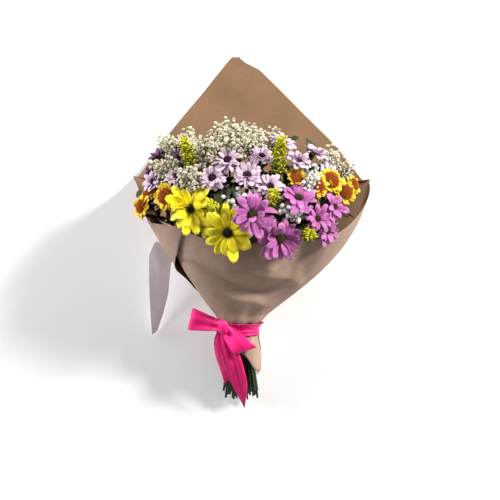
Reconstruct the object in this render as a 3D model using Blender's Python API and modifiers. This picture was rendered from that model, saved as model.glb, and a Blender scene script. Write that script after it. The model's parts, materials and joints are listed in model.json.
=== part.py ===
"""A mixed bouquet wrapped in brown kraft paper and tied with a satin ribbon, lying on its back.

Lengths below are in millimetres from the tie of the bouquet, with +X across the bunch, +Y from
the cut stems towards the flowers and +Z up from the surface it lies on. Meshes are in metres.
"""

import math
import random

import bmesh
import bpy
import numpy as np
from mathutils import Matrix, Vector

OBJECT_NAME = "mixed_bouquet"
MM = 0.001
SHIFT = np.array((-16.8, -156.5, 0.0))  # puts the middle of the footprint at the origin

# The tie, and the slope of the bundle of stems that passes through it.
TIE = np.array((0.0, 0.0, 65.0))
LEAN = math.radians(20)
ALONG = np.array((0.0, math.cos(LEAN), math.sin(LEAN)))
ACROSS = np.array((1.0, 0.0, 0.0))
UPWARD = np.array((0.0, -math.sin(LEAN), math.cos(LEAN)))
SPREAD = 0.0261  # widening of the bundle per millimetre above the tie
KNEE = 130.0  # where a stem leaves the bundle for its own head
FOOT = -119.0  # where the stems are cut
FLARE = np.array((1.42, 1.16))  # widening of the bundle there, across it and upwards
BUNDLE_RADIUS = 20.0
STEM_PITCH = 4.7
STEM_RADIUS = 1.8
TWIG_RADIUS = 0.8

# The paper wrap.
NECK = 27.0
PAPER = 0.6
CREASE = 1.6
PEAK = np.array((-13.0, 448.0))
SKIRT = -38.0
NECK_ROWS = (SKIRT, SKIRT / 2, 0.0, 6.0, 14.0, 25.0, 40.0)

# The ribbon.
RIBBON = 0.6
RIBBON_WIDTH = 34.0

# Flower kinds: petals, depth of the gaps between them, height of the centre, stem below the head.
KINDS = {
    "yellow_daisy": (10, 0.74, 0.16, 38.0),
    "pink_daisy": (10, 0.76, 0.16, 38.0),
    "lilac_daisy": (9, 0.76, 0.20, 30.0),
    "bronze_button": (8, 0.88, 0.40, 26.0),
    "plum_aster": (9, 0.78, 0.24, 28.0),
}
COLOURS = {
    "yellow_daisy": (0.85, 0.75, 0.03),
    "pink_daisy": (0.55, 0.15, 0.50),
    "lilac_daisy": (0.62, 0.42, 0.62),
    "bronze_button": (0.45, 0.17, 0.02),
    "plum_aster": (0.12, 0.03, 0.10),
    "baby_breath": (0.80, 0.78, 0.66),
    "goldenrod": (0.45, 0.45, 0.04),
    "foliage": (0.05, 0.08, 0.02),
    "kraft": (0.40, 0.24, 0.13),
    "white_paper": (0.75, 0.72, 0.74),
    "ribbon": (0.85, 0.03, 0.22),
}

# Flower heads: kind, middle of the head, its radius, and which way it faces.
HEADS = (
    ("yellow_daisy", (-68, 182, 206), 28, (-0.25, -0.12, 0.95)),
    ("yellow_daisy", (-15, 148, 211), 30, (-0.12, -0.34, 0.93)),
    ("yellow_daisy", (-44, 158, 182), 14, (-0.25, -0.10, 0.95)),
    ("pink_daisy", (19, 172, 230), 27, (0.02, -0.16, 0.99)),
    ("pink_daisy", (58, 140, 209), 28, (0.12, -0.34, 0.93)),
    ("pink_daisy", (84, 196, 214), 24, (0.25, 0.50, 0.83)),
    ("pink_daisy", (112, 168, 197), 19, (0.40, 0.10, 0.91)),
    ("pink_daisy", (128, 151, 180.5), 15, (0.60, -0.20, 0.77)),
    ("pink_daisy", (138, 186, 180), 13, (0.62, 0.12, 0.77)),
    ("lilac_daisy", (-16, 250, 208), 20, (-0.12, 0.58, 0.80)),
    ("lilac_daisy", (-37, 224, 214), 19, (-0.20, 0.45, 0.87)),
    ("lilac_daisy", (12, 228, 217), 19, (0.05, 0.50, 0.86)),
    ("lilac_daisy", (44, 212, 222), 17, (0.15, 0.38, 0.91)),
    ("lilac_daisy", (64, 278, 182), 19, (0.20, 0.86, 0.46)),
    ("lilac_daisy", (86, 250, 192), 17, (0.30, 0.74, 0.60)),
    ("lilac_daisy", (112, 266, 165), 18, (0.45, 0.80, 0.40)),
    ("lilac_daisy", (32, 256, 205), 17, (0.10, 0.66, 0.74)),
    ("lilac_daisy", (133, 240, 160), 15, (0.62, 0.60, 0.50)),
    ("lilac_daisy", (-126, 224, 166), 16, (-0.66, 0.34, 0.67)),
    ("lilac_daisy", (-90, 228, 192), 16, (-0.42, 0.40, 0.81)),
    ("bronze_button", (-104, 200, 190), 14, (-0.45, 0.10, 0.89)),
    ("bronze_button", (-144, 188, 152), 13, (-0.74, 0.08, 0.67)),
    ("bronze_button", (-136, 207, 146), 11, (-0.74, 0.30, 0.60)),
    ("bronze_button", (133, 224, 176), 15, (0.45, 0.30, 0.84)),
    ("bronze_button", (156, 208, 162), 13, (0.45, 0.05, 0.89)),
    ("bronze_button", (172, 222, 128), 12, (0.80, 0.20, 0.56)),
    ("bronze_button", (112, 214, 194), 13, (0.35, 0.25, 0.90)),
    ("bronze_button", (82, 226, 200), 11, (0.20, 0.45, 0.87)),
    ("plum_aster", (-120, 262, 136), 17, (-0.50, 0.70, 0.50)),
    ("plum_aster", (-88, 258, 166), 16, (-0.40, 0.62, 0.67)),
    ("plum_aster", (-132, 242, 132), 14, (-0.75, 0.50, 0.44)),
)

# Sprays of baby's breath: middle of the spray, how far it spreads, how many puffs it holds.
SPRAYS = (
    ((-2, 300, 172), 36, 10),
    ((-44, 284, 182), 32, 9),
    ((38, 290, 172), 26, 7),
    ((-84, 288, 148), 26, 7),
    ((-56, 246, 200), 24, 7),
    ((146, 264, 120), 24, 7),
    ((100, 234, 190), 22, 6),
    ((2, 200, 214), 22, 6),
    ((74, 176, 206), 20, 6),
    ((-100, 250, 172), 20, 5),
)
# Goldenrod plumes: foot of the plume, its direction and length.
PLUMES = (
    ((-66, 236, 178), (-0.15, 0.60, 0.78), 46),
    ((52, 224, 186), (0.10, 0.72, 0.68), 52),
    ((44, 178, 190), (0.12, 0.50, 0.86), 36),
    ((-36, 172, 190), (-0.15, 0.10, 0.98), 30),
    ((92, 146, 176), (0.20, -0.05, 0.98), 28),
)
# Leafy sprigs: foot of the sprig, its direction and length.
SPRIGS = (
    ((-34, 196, 172), (-0.10, 0.30, 0.95), 40),
    ((84, 142, 158), (0.25, 0.20, 0.93), 32),
    ((-70, 166, 150), (-0.25, 0.25, 0.90), 34),
)


def unit(vector):
    """The vector at length one."""
    vector = np.asarray(vector, float)
    return vector / np.linalg.norm(vector)


def smooth(low, high, value):
    """A step from 0 to 1 with rounded ends."""
    t = min(max((value - low) / (high - low), 0.0), 1.0)
    return t * t * (3 - 2 * t)


# ---------------------------------------------------------------- scene and mesh helpers


def clear_scene():
    """Removes every object of the startup scene."""
    for obj in list(bpy.data.objects):
        bpy.data.objects.remove(obj, do_unlink=True)


def new_collection(name, hidden=False):
    """A collection under the scene; a hidden one holds helpers."""
    collection = bpy.data.collections.new(name)
    collection.hide_render = hidden
    bpy.context.scene.collection.children.link(collection)
    return collection


def material(name):
    """The plain material of one kind of piece."""
    found = bpy.data.materials.get(name)
    if found:
        return found
    found = bpy.data.materials.new(name)
    found.use_nodes = True
    shader = found.node_tree.nodes["Principled BSDF"]
    shader.inputs["Base Color"].default_value = (*COLOURS[name], 1.0)
    shader.inputs["Roughness"].default_value = 0.45 if name == "ribbon" else 0.8
    return found


def metres(points):
    """Millimetres from the tie as metres in the finished frame."""
    return (np.asarray(points, float) + SHIFT) * MM


def mesh_object(name, points, faces):
    """An object from points in millimetres and faces."""
    mesh = bpy.data.meshes.new(name)
    mesh.from_pydata([tuple(p) for p in metres(points)], [], faces)
    mesh.update()
    return bpy.data.objects.new(name, mesh)


def from_bmesh(name, bm):
    """An object from a bmesh in millimetres, which it frees."""
    bmesh.ops.recalc_face_normals(bm, faces=bm.faces)
    for vert in bm.verts:
        vert.co = Vector(metres(vert.co))
    mesh = bpy.data.meshes.new(name)
    bm.to_mesh(mesh)
    bm.free()
    return bpy.data.objects.new(name, mesh)


def rod(name, points, radius, sides=6):
    """A capped round rod along a path, as a curve with a bevel."""
    curve = bpy.data.curves.new(name, "CURVE")
    curve.dimensions = "3D"
    curve.bevel_depth = radius * MM
    curve.bevel_resolution = (sides - 4) // 2
    curve.use_fill_caps = True
    spline = curve.splines.new("POLY")
    spline.points.add(len(points) - 1)
    for place, point in zip(spline.points, metres(points)):
        place.co = (*point, 1.0)
    return bpy.data.objects.new(name, curve)


def baked(obj):
    """The object's evaluated mesh as a plain mesh object of the same name."""
    bpy.context.scene.collection.objects.link(obj)
    bpy.context.view_layer.update()
    graph = bpy.context.evaluated_depsgraph_get()
    mesh = bpy.data.meshes.new_from_object(obj.evaluated_get(graph))
    name = obj.name
    bpy.data.objects.remove(obj, do_unlink=True)
    solid = bpy.data.objects.new(name, mesh)
    solid.name = name
    return solid


def joined(base, others):
    """One closed body from solids that run into each other."""
    base = baked(base)
    helpers = [baked(other) for other in others]
    for helper in helpers:
        bpy.context.scene.collection.objects.link(helper)
        modifier = base.modifiers.new(helper.name, "BOOLEAN")
        modifier.operation = "UNION"
        modifier.solver = "EXACT"
        modifier.object = helper
    solid = baked(base)
    for helper in helpers:
        bpy.data.objects.remove(helper, do_unlink=True)
    return solid


def sheet_object(name, grid, thickness):
    """A thin sheet through a grid of points, given thickness on both sides."""
    rows, columns = len(grid), len(grid[0])
    points = [point for row in grid for point in row]
    faces = [
        (r * columns + c, r * columns + c + 1, (r + 1) * columns + c + 1, (r + 1) * columns + c)
        for r in range(rows - 1)
        for c in range(columns - 1)
    ]
    obj = mesh_object(name, points, faces)
    solidify = obj.modifiers.new("thickness", "SOLIDIFY")
    solidify.thickness = thickness * MM
    solidify.offset = 0.0
    solidify.use_even_offset = True
    return obj


# ---------------------------------------------------------------- the bundle of stems


def bundle_place(point):
    """Height above the tie, and the place across the bundle scaled back to the tie."""
    offset = np.asarray(point, float) - TIE
    height = offset @ ALONG
    return height, np.array((offset @ ACROSS, offset @ UPWARD)) / (1 + SPREAD * height)


def bundle_point(height, place):
    """The point of the bundle at a height and a place across it."""
    return TIE + ALONG * height + ACROSS * place[0] + UPWARD * place[1]


def spread(wanted, pitch, radius):
    """Places near the wanted ones, no two closer than the pitch and all within the radius."""
    places = wanted.copy()
    for _ in range(400):
        gaps = places[:, None] - places[None]
        distance = np.linalg.norm(gaps, axis=2) + np.eye(len(places)) * 1e9
        push = np.clip(pitch * 1.04 - distance, 0, None) / 2
        places = places + (gaps / distance[..., None] * push[..., None]).sum(axis=1)
        places = places + (wanted - places) * 0.02
        reach = np.linalg.norm(places, axis=1)
        places *= np.minimum(1.0, radius / np.maximum(reach, 1e-6))[:, None]
    return places


def stem_places(tops):
    """Where each stem passes the tie and the knee, in the order of the tops, so that none touch."""
    wanted = np.array([bundle_place(top)[1] for top in tops])
    tie = spread(wanted * (0.92, 1.55) - (0.4, 9.0), STEM_PITCH, BUNDLE_RADIUS)
    knee = spread(wanted, 1.15, 100.0) * (1 + SPREAD * KNEE)
    return list(zip(tie, knee))


def stem_path(places, tip_points, seed):
    """The path of one stem from its cut foot, through the tie and the knee, to the given points."""
    tie, knee = places
    foot = FOOT + 9 * math.sin(seed * 2.4)
    return [bundle_point(foot, tie * FLARE), bundle_point(0, tie), bundle_point(KNEE, knee), *tip_points]


# ---------------------------------------------------------------- room for each piece


class Room:
    """The room already taken, as spheres, so that a new piece can be placed in a gap."""

    def __init__(self):
        self.middles = np.zeros((0, 3))
        self.radii = np.zeros(0)

    def take(self, points, radius):
        """Marks the room round these points as taken."""
        points = np.atleast_2d(points)
        self.middles = np.vstack((self.middles, points))
        self.radii = np.append(self.radii, np.full(len(points), float(radius)))

    def take_path(self, path, radius):
        """Marks the room along a path as taken."""
        self.take(along(path, 3.0), radius)

    def take_head(self, middle, facing, radius):
        """Marks the room of a flower head as taken."""
        across, up = tangents(facing)
        for share, count, rise in ((0.0, 1, -0.05), (0.4, 6, -0.08), (0.75, 12, -0.02), (1.0, 18, 0.0)):
            for turn in np.linspace(0, 2 * math.pi, count, endpoint=False):
                side = across * math.cos(turn) + up * math.sin(turn)
                reach = radius * (share - 0.1 * share)
                self.take(middle + side * reach + facing * radius * rise, radius * (0.2 - 0.1 * share) + 0.8)

    def free(self, points, radius):
        """Whether spheres at these points are clear of everything taken."""
        points = np.atleast_2d(points)
        gaps = np.linalg.norm(points[:, None] - self.middles[None], axis=2)
        return bool((gaps > self.radii[None] + radius).all())


def along(path, step):
    """Points at even steps along a path."""
    found = []
    for start, end in zip(path[:-1], path[1:]):
        count = max(2, int(np.linalg.norm(end - start) / step))
        found += [start + (end - start) * t for t in np.linspace(0, 1, count)]
    return np.array(found)


def tangents(facing):
    """Two directions square to the one given and to each other."""
    facing = unit(facing)
    across = unit(np.cross((0.0, 0.3, 1.0) if abs(facing[2]) < 0.8 else (0.0, 1.0, 0.0), facing))
    return across, np.cross(facing, across)


# ---------------------------------------------------------------- flowers


def head_object(name, middle, facing, radius, petals, notch, rise):
    """A flower head: a dish with one scallop to each petal, a domed centre and a calyx below."""
    bm = bmesh.new()
    bmesh.ops.create_uvsphere(bm, u_segments=2 * petals, v_segments=4, radius=1.0)
    across, up = tangents(facing)
    turn = Matrix((across, up, unit(facing))).transposed()
    for vert in bm.verts:
        level = round(vert.co.z, 3)
        angle = math.atan2(vert.co.y, vert.co.x)
        tip = math.cos(petals * angle) > 0
        if abs(level) > 0.99:
            reach, height = 0.0, rise if level > 0 else -0.30
        elif abs(level) < 0.01:
            reach, height = (1.0, 0.05) if tip else (notch, 0.0)
        elif level > 0:
            reach, height = 0.30, 0.55 * rise
        else:
            reach, height = 0.20, -0.22
        local = Vector((reach * math.cos(angle), reach * math.sin(angle), height)) * radius
        vert.co = turn @ local + Vector(middle)
    return from_bmesh(name, bm)


def flower(name, kind, middle, radius, facing, path):
    """One flower on its stem."""
    petals, notch, rise, _ = KINDS[kind]
    head = head_object(name + "_head", middle, facing, radius, petals, notch, rise)
    return joined(rod(name, path, STEM_RADIUS), [head])


def puff(name, middle, radius):
    """A small round cluster of florets."""
    bm = bmesh.new()
    bmesh.ops.create_icosphere(bm, subdivisions=1, radius=radius, matrix=Matrix.Translation(middle))
    return from_bmesh(name, bm)


def leaf(name, foot, direction, facing, length, width):
    """A pointed leaf, thickest along its midrib."""
    direction, facing = unit(direction), unit(facing)
    side = unit(np.cross(direction, facing))
    facing = np.cross(side, direction)
    spine = [foot + direction * length * t - facing * length * 0.25 * t * t for t in (0.0, 0.3, 0.65, 1.0)]
    half = (0.12, 0.5, 0.36, 0.02)
    bm = bmesh.new()
    rings = []
    for place, share in zip(spine, half):
        reach = side * width * share
        thick = facing * (0.35 + 1.1 * share)
        corners = (place - reach, place - thick, place + reach, place + thick)
        rings.append([bm.verts.new(Vector(c)) for c in corners])
    for low, high in zip(rings[:-1], rings[1:]):
        for k in range(4):
            bm.faces.new((low[k], low[(k + 1) % 4], high[(k + 1) % 4], high[k]))
    bm.faces.new(rings[0])
    bm.faces.new(rings[-1])
    return from_bmesh(name, bm)


# ---------------------------------------------------------------- paper wrap


def half_width(y, side):
    """Half the width of the wrap, to its left (-1) or right (+1)."""
    if y <= 0:
        return NECK - 0.20 * y
    if side > 0:
        return NECK + 190 * (1 - math.exp(-((y / 108) ** 1.4)))
    return NECK + 300 * (1 - math.exp(-((y / 330) ** 1.12)))


def section_heights(y):
    """Heights of the sole, of the widest part and of the crown of the wrap."""
    if y <= 0:
        middle = TIE[2] + y * math.tan(LEAN)
        return middle - NECK + 0.20 * y, middle, middle + NECK - 0.20 * y
    middle = TIE[2] + 12 * (1 - math.exp(-y / 90))
    return max(TIE[2] - NECK - 0.31 * y, 0.0), middle, TIE[2] + NECK + 0.76 * y


def wrap_point(angle, y, inset=0.0):
    """A point of the wrap: angle 0 at the crown, 90 at the right, 180 at the sole (degrees)."""
    turn = math.radians(angle)
    s, c = math.sin(turn), math.cos(turn)
    sole, middle, crown = section_heights(y)
    square = smooth(0, 110, y)
    power = 2 + (0.7 if c > 0 else 2.4) * square
    reach = (abs(s) ** power + abs(c) ** power) ** (-1 / power)
    fold = CREASE * smooth(20, 120, y) * math.sin(math.radians(5 * angle + 0.5 * y)) * (0.5 + 0.5 * c)
    wide = half_width(y, s) + fold - inset
    tall = (crown - middle if c > 0 else middle - sole) + fold - inset
    return np.array((wide * reach * s, y, max(middle + tall * reach * c, PAPER / 2 + inset)))


def back_edge(x):
    """How far the back sheet reaches at a distance from its middle: a corner of the sheet."""
    reach = abs(x - PEAK[0])
    if x < PEAK[0]:
        return PEAK[1] - 1.22 * reach - 0.006 * max(0.0, reach - 104) ** 2
    return PEAK[1] - 0.5 * min(reach, 45) - max(0.0, reach - 45) - 0.0055 * max(0.0, reach - 156) ** 2


def edge_angle(y, outermost):
    """Where the upper edge of the back sheet is met at this height, going from the sole outwards."""
    inner, outer = 180.0, outermost
    for _ in range(24):
        angle = (inner + outer) / 2
        inside = y < back_edge(wrap_point(angle, y)[0])
        inner, outer = (angle, outer) if inside else (inner, angle)
    return inner


def back_left(y):
    """Left edge of the back sheet: up the neck, forward as a pointed flap, then back to its peak."""
    if y < 62:
        return 256 + 12 * (y - SKIRT) / (62 - SKIRT)
    if y < 148:
        return 268 + 55 * (y - 62) / 86
    if y < 166:
        return 323 - 26 * (y - 148) / 18
    if y < 228:
        return 297 - 29 * (y - 166) / 62
    return edge_angle(y, 268.0)


def back_right(y):
    """Right edge of the back sheet: low on the right wall, then back to its peak."""
    return 96.0 if y < 236 else edge_angle(y, 96.0)


def front_top(angle):
    """Top edge of the front sheet: low at the crown, rising to the corners."""
    s = abs(math.sin(math.radians(angle)))
    if angle < 0:
        return 133 + 46 * s**2
    return 133 + 100 * (0.22 * s**2 + 0.74 * s**9) + 14 * math.exp(-(((angle - 64) / 14) ** 2))


def front_foot(angle):
    """Bottom edge of the front sheet: below the tie, with one long corner at the right."""
    return SKIRT - 34 * math.exp(-(((angle - 48) / 26) ** 2))


def back_sheet(name):
    """The large kraft sheet behind the flowers."""
    rows = []
    for y in (*NECK_ROWS, 58, 80, 105, 128, 147, 154, 160, 166, 184, 210, 234, 241, 249, 264, 300, 340, 380, 415, 445):
        angles = np.linspace(back_right(y), back_left(y), 26)
        rows.append([wrap_point(angle, y) for angle in angles])
    return sheet_object(name, rows, PAPER)


def front_sheet(name):
    """The smaller kraft sheet across the front, inside the back sheet where they pass."""
    columns = []
    for angle in np.linspace(-104, 112, 27):
        upper = 40 + (front_top(angle) - 40) * np.linspace(0, 1, 6)[1:]
        steps = (front_foot(angle), *NECK_ROWS[1:], *upper)
        columns.append([wrap_point(angle, y, 1.5 + 2.8 * smooth(0, 110, y)) for y in steps])
    return sheet_object(name, columns, PAPER)


def lining_sheet(name):
    """White lining paper: a tongue from the neck along the left wall, with its corner hanging free."""
    held = [
        [wrap_point(angle + 9 * k, y + 4 * k, -1.8 - 1.2 * smooth(10, 60, y)) for k in range(3)]
        for angle, y in ((222, 12), (226, 38), (232, 68), (238, 96), (244, 118))
    ]
    free = (
        ((-110, 112, 46), (-124, 124, 58), (-134, 138, 74)),
        ((-114, 86, 42), (-130, 100, 52), (-147, 118, 60)),
        ((-118, 54, 28), (-132, 60, 34), (-149, 66, 40)),
        ((-128, 18, 14), (-137, 16, 17), (-149, 16, 20)),
        ((-139, -12, 4), (-143, -15, 5), (-148, -18, 6)),
    )
    return sheet_object(name, held + [[np.array(p, float) for p in row] for row in free], PAPER)


# ---------------------------------------------------------------- ribbon


def ribbon_band(name):
    """The turn of the ribbon round the neck of the wrap."""
    bm = bmesh.new()
    segments, low, high = 28, -9.0, 9.0
    inner, outer = NECK + 2.4, NECK + 2.4 + RIBBON
    corners = ((low, inner), (high, inner), (high, outer), (low, outer))
    rings = []
    for k in range(segments):
        turn = 2 * math.pi * k / segments
        ring = []
        for y, radius in corners:
            flare = radius + 0.95 * max(y, 0) + 0.12 * max(-y, 0)
            middle = TIE[2] + min(y, 0) * math.tan(LEAN) + 0.16 * max(y, 0)
            ring.append(bm.verts.new((flare * math.sin(turn), y, middle + flare * math.cos(turn))))
        rings.append(ring)
    for k in range(segments):
        ring, after = rings[k], rings[(k + 1) % segments]
        for j in range(4):
            bm.faces.new((ring[j], ring[(j + 1) % 4], after[(j + 1) % 4], after[j]))
    return from_bmesh(name, bm)


def strip(name, middles, sides):
    """A strip of ribbon through the given middles, with its half width at each as a vector."""
    grid = [
        [middle - side, middle, middle + side]
        for middle, side in zip(np.array(middles, float), np.array(sides, float))
    ]
    return sheet_object(name, grid, RIBBON)


def bow_loop(name, start, end, start_side, end_side, plump):
    """A loop of the bow: out from the knot, round a soft fold and back underneath."""
    start, end = np.array(start, float), np.array(end, float)
    start_side, end_side = np.array(start_side, float), np.array(end_side, float)
    middles, sides = [], []
    for t in np.linspace(-1, 1, 11):
        reach = math.sin((1 - abs(t)) * math.pi / 2)
        lift = plump * math.copysign(math.sin(min(abs(t) * 1.25, 1) * math.pi) ** 0.8 + 0.12 * abs(t), -t)
        if abs(t) * 1.25 >= 1:
            lift = plump * math.copysign(0.12 * abs(t) + 0.10, -t)
        middles.append(start + (end - start) * reach + np.array((0, 0, lift)))
        sides.append(start_side + (end_side - start_side) * reach)
    return strip(name, middles, sides)


def ribbon(name):
    """One ribbon: round the neck, a knot at its left, two loops and two tails."""
    knot = bmesh.new()
    bmesh.ops.create_cube(knot, size=1.0)
    turn = Matrix.Rotation(math.radians(-38), 4, "Y") @ Matrix.Diagonal((15, 19, 9, 1))
    bmesh.ops.transform(knot, matrix=Matrix.Translation((-25.0, 4.0, 96.0)) @ turn, verts=knot.verts)
    bmesh.ops.bevel(knot, geom=knot.edges, offset=3.0, segments=1, affect="EDGES")
    pieces = [
        ribbon_band("band"),
        bow_loop("loop_left", (-27, 5, 97), (-76, 16, 84), (1, 8, 0), (3, 16, 3), 9),
        bow_loop("loop_right", (-23, 4, 98), (7, -34, 96), (9, 5, 2), (17, 5, 0), 7),
        strip(
            "tail_front",
            ((-26, 2, 95), (-21, -22, 93), (-13, -56, 84), (-4, -92, 67), (3, -116, 55), (6, -131, 40)),
            ((8, 2, 1), (13, 3, 2), (16, 3, 3), (13, 3, 2), (7, 1, 2), (0.8, 0.2, 0)),
        ),
        strip(
            "tail_back",
            ((-28, 2, 92), (-36, -18, 84), (-39, -42, 70), (-37, -66, 54), (-34, -88, 38)),
            ((5, 1, 3), (9, 1, 7), (9, 2, 8), (8, 3, 7), (7, 8, 4)),
        ),
    ]
    return joined(from_bmesh(name, knot), pieces)


# ---------------------------------------------------------------- assembly


def finish(collection, obj, kind):
    """Puts a finished piece in the object's collection with its material."""
    obj.data.materials.clear()
    obj.data.materials.append(material(kind))
    collection.objects.link(obj)


def numbered(counts, kind):
    """The next name of this kind."""
    counts[kind] = counts.get(kind, 0) + 1
    return f"{kind}_{counts[kind]}"


def head_tip(kind, middle, facing, radius):
    """The last points of a flower's stem: below its head, then just inside it."""
    middle, facing = np.array(middle, float), unit(facing)
    down = unit(facing * 0.8 + unit(middle - TIE) * 0.6)
    return [middle - facing * radius * 0.2 - down * KINDS[kind][3], middle - facing * radius * 0.08]


def twig_fork(hub, index):
    """Where a twig leaves the stem of its spray: one after another below the top."""
    return hub - unit(hub - TIE) * (1.2 + 1.9 * index)


def spray_puffs(room, dice, hub, middle, reach, count):
    """Puffs of baby's breath in the gaps round the middle of a spray."""
    puffs = []
    across, up = tangents(unit(middle - hub))
    for attempt in range(900):
        if len(puffs) == count:
            break
        turn, out = dice.uniform(0, 2 * math.pi), reach * math.sqrt(dice.random())
        radius = dice.uniform(6.5, 9.5)
        place = middle + (across * math.cos(turn) + up * math.sin(turn)) * out
        place = place + unit(middle - hub) * dice.uniform(-9, 7)
        fork = twig_fork(hub, len(puffs))
        twig = along([fork + (place - fork) * 0.12, place], 3.0)
        apart = all(np.linalg.norm(place - p) > radius + r + 1.5 for p, r, _ in puffs)
        if apart and room.free(place, radius + 1.0) and room.free(twig, TWIG_RADIUS + 0.8):
            puffs.append((place, radius, fork))
    return puffs


def clear_shift(room, dice, build, radius, reach):
    """The piece whose path, moved a little, is clear of everything taken."""
    for attempt in range(400):
        nudge = np.array([dice.uniform(-1, 1) for _ in range(3)]) * reach * attempt / 400
        piece = build(nudge)
        if room.free(along(piece, 3.0), radius):
            return piece
    print("no free place")
    return build(np.zeros(3))


def build_flowers(collection, room, places):
    """Every flower with its own stem."""
    counts = {}
    for index, (kind, middle, radius, facing) in enumerate(HEADS):
        middle, facing = np.array(middle, float), unit(facing)
        tip = head_tip(kind, middle, facing, radius)
        path = stem_path(places[index], tip, index)
        name = numbered(counts, kind)
        finish(collection, flower(name, kind, middle, radius, facing, path), kind)
        room.take_path(path, STEM_RADIUS)
        room.take_head(middle, facing, radius)


def build_sprays(collection, room, places, dice):
    """The sprays of baby's breath."""
    for index, (middle, reach, count) in enumerate(SPRAYS):
        middle = np.array(middle, float)
        hub = spray_hub(middle)
        path = stem_path(places[index], [hub], index + 40)
        puffs = spray_puffs(room, dice, hub, middle, reach, count)
        name = f"baby_breath_{index + 1}"
        twigs = [rod(f"twig_{k}", [fork, place], TWIG_RADIUS, 4) for k, (place, _, fork) in enumerate(puffs)]
        balls = [puff(f"puff_{k}", place, radius) for k, (place, radius, _) in enumerate(puffs)]
        finish(collection, joined(rod(name, path, STEM_RADIUS * 0.8), twigs + balls), "baby_breath")
        room.take_path(path, STEM_RADIUS)
        for place, radius, fork in puffs:
            room.take(place, radius)
            room.take_path([fork, place], TWIG_RADIUS)
        print(name, len(puffs), "of", count)


def spray_hub(middle):
    """Where the twigs of a spray leave its stem."""
    return middle - unit(middle - TIE) * 62 - np.array((0, 0, 8.0))


def build_plumes(collection, room, places, dice):
    """The goldenrod plumes: a chain of small clusters along the top of each stem."""
    for index, (foot, direction, length) in enumerate(PLUMES):
        foot, direction = np.array(foot, float), unit(direction)

        def plume(nudge):
            return [foot + nudge * 0.5, foot + nudge + direction * length]

        plume_path = clear_shift(room, dice, plume, 5.4, 26)
        path = stem_path(places[index], plume_path, index + 60)
        balls = []
        for k, t in enumerate(np.linspace(0.12, 1.0, 5)):
            middle = plume_path[0] + (plume_path[1] - plume_path[0]) * t
            balls.append(puff(f"cluster_{k}", middle, 4.6 - 1.4 * t))
        name = f"goldenrod_{index + 1}"
        finish(collection, joined(rod(name, path, STEM_RADIUS * 0.8), balls), "goldenrod")
        room.take_path(path, STEM_RADIUS)
        room.take_path(plume_path, 5.0)


def build_sprigs(collection, room, places, dice):
    """The leafy sprigs."""
    for index, (foot, direction, length) in enumerate(SPRIGS):
        foot, direction = np.array(foot, float), unit(direction)

        def sprig(nudge):
            return [foot + nudge, foot + nudge + direction * length]

        spine = clear_shift(room, dice, sprig, 2.4, 20)
        path = stem_path(places[index], spine, index + 70)
        across, up = tangents(direction)
        leaves, blades = [], []
        for k in range(6):
            turn = k * 2.1 + index
            side = across * math.cos(turn) + up * math.sin(turn)
            base = spine[0] + (spine[1] - spine[0]) * (0.35 + 0.12 * k)
            blade = [base, base + unit(side + direction) * 22]
            if room.free(along([blade[0] + (blade[1] - blade[0]) * 0.2, blade[1]], 2.0), 3.6):
                leaves.append(leaf(f"leaf_{k}", base, side + direction, direction - side, 22, 11))
                blades.append(blade)
        name = f"foliage_{index + 1}"
        finish(collection, joined(rod(name, path, STEM_RADIUS), leaves), "foliage")
        room.take_path(path, STEM_RADIUS)
        room.take_path(spine, 3.0)
        for blade in blades:
            room.take_path(blade, 4.0)
        print(name, len(leaves), "leaves")


def build_wrap(collection):
    """The two kraft sheets and the sheet of lining paper."""
    finish(collection, back_sheet("kraft_back_sheet"), "kraft")
    finish(collection, front_sheet("kraft_front_sheet"), "kraft")
    finish(collection, lining_sheet("white_lining_sheet"), "white_paper")


def main():
    """Builds the bouquet."""
    clear_scene()
    collection = new_collection(OBJECT_NAME)
    dice = random.Random(11)
    room = Room()
    tops = [head_tip(kind, m, f, r)[0] for kind, m, r, f in HEADS]
    tops += [spray_hub(np.array(middle, float)) for middle, _, _ in SPRAYS]
    tops += [np.array(foot, float) for foot, _, _ in PLUMES + SPRIGS]
    places = stem_places(tops)
    flowers, sprays, plumes = len(HEADS), len(SPRAYS), len(PLUMES)
    build_flowers(collection, room, places[:flowers])
    build_plumes(collection, room, places[flowers + sprays : flowers + sprays + plumes], dice)
    build_sprigs(collection, room, places[flowers + sprays + plumes :], dice)
    build_sprays(collection, room, places[flowers : flowers + sprays], dice)
    build_wrap(collection)
    finish(collection, ribbon("ribbon"), "ribbon")


main()
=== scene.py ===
"""A mixed flower bouquet laid down, wrapped in kraft paper and tied with a satin ribbon.

Sizes are in millimetres, measured from the place on the floor below the tie: x to the right, y
towards the flowers and z up. A finished piece is in metres in the frame of the CAD model.
"""

import json
import logging
import math
import random
from dataclasses import dataclass, replace
from enum import Enum
from typing import Callable, Sequence

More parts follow.
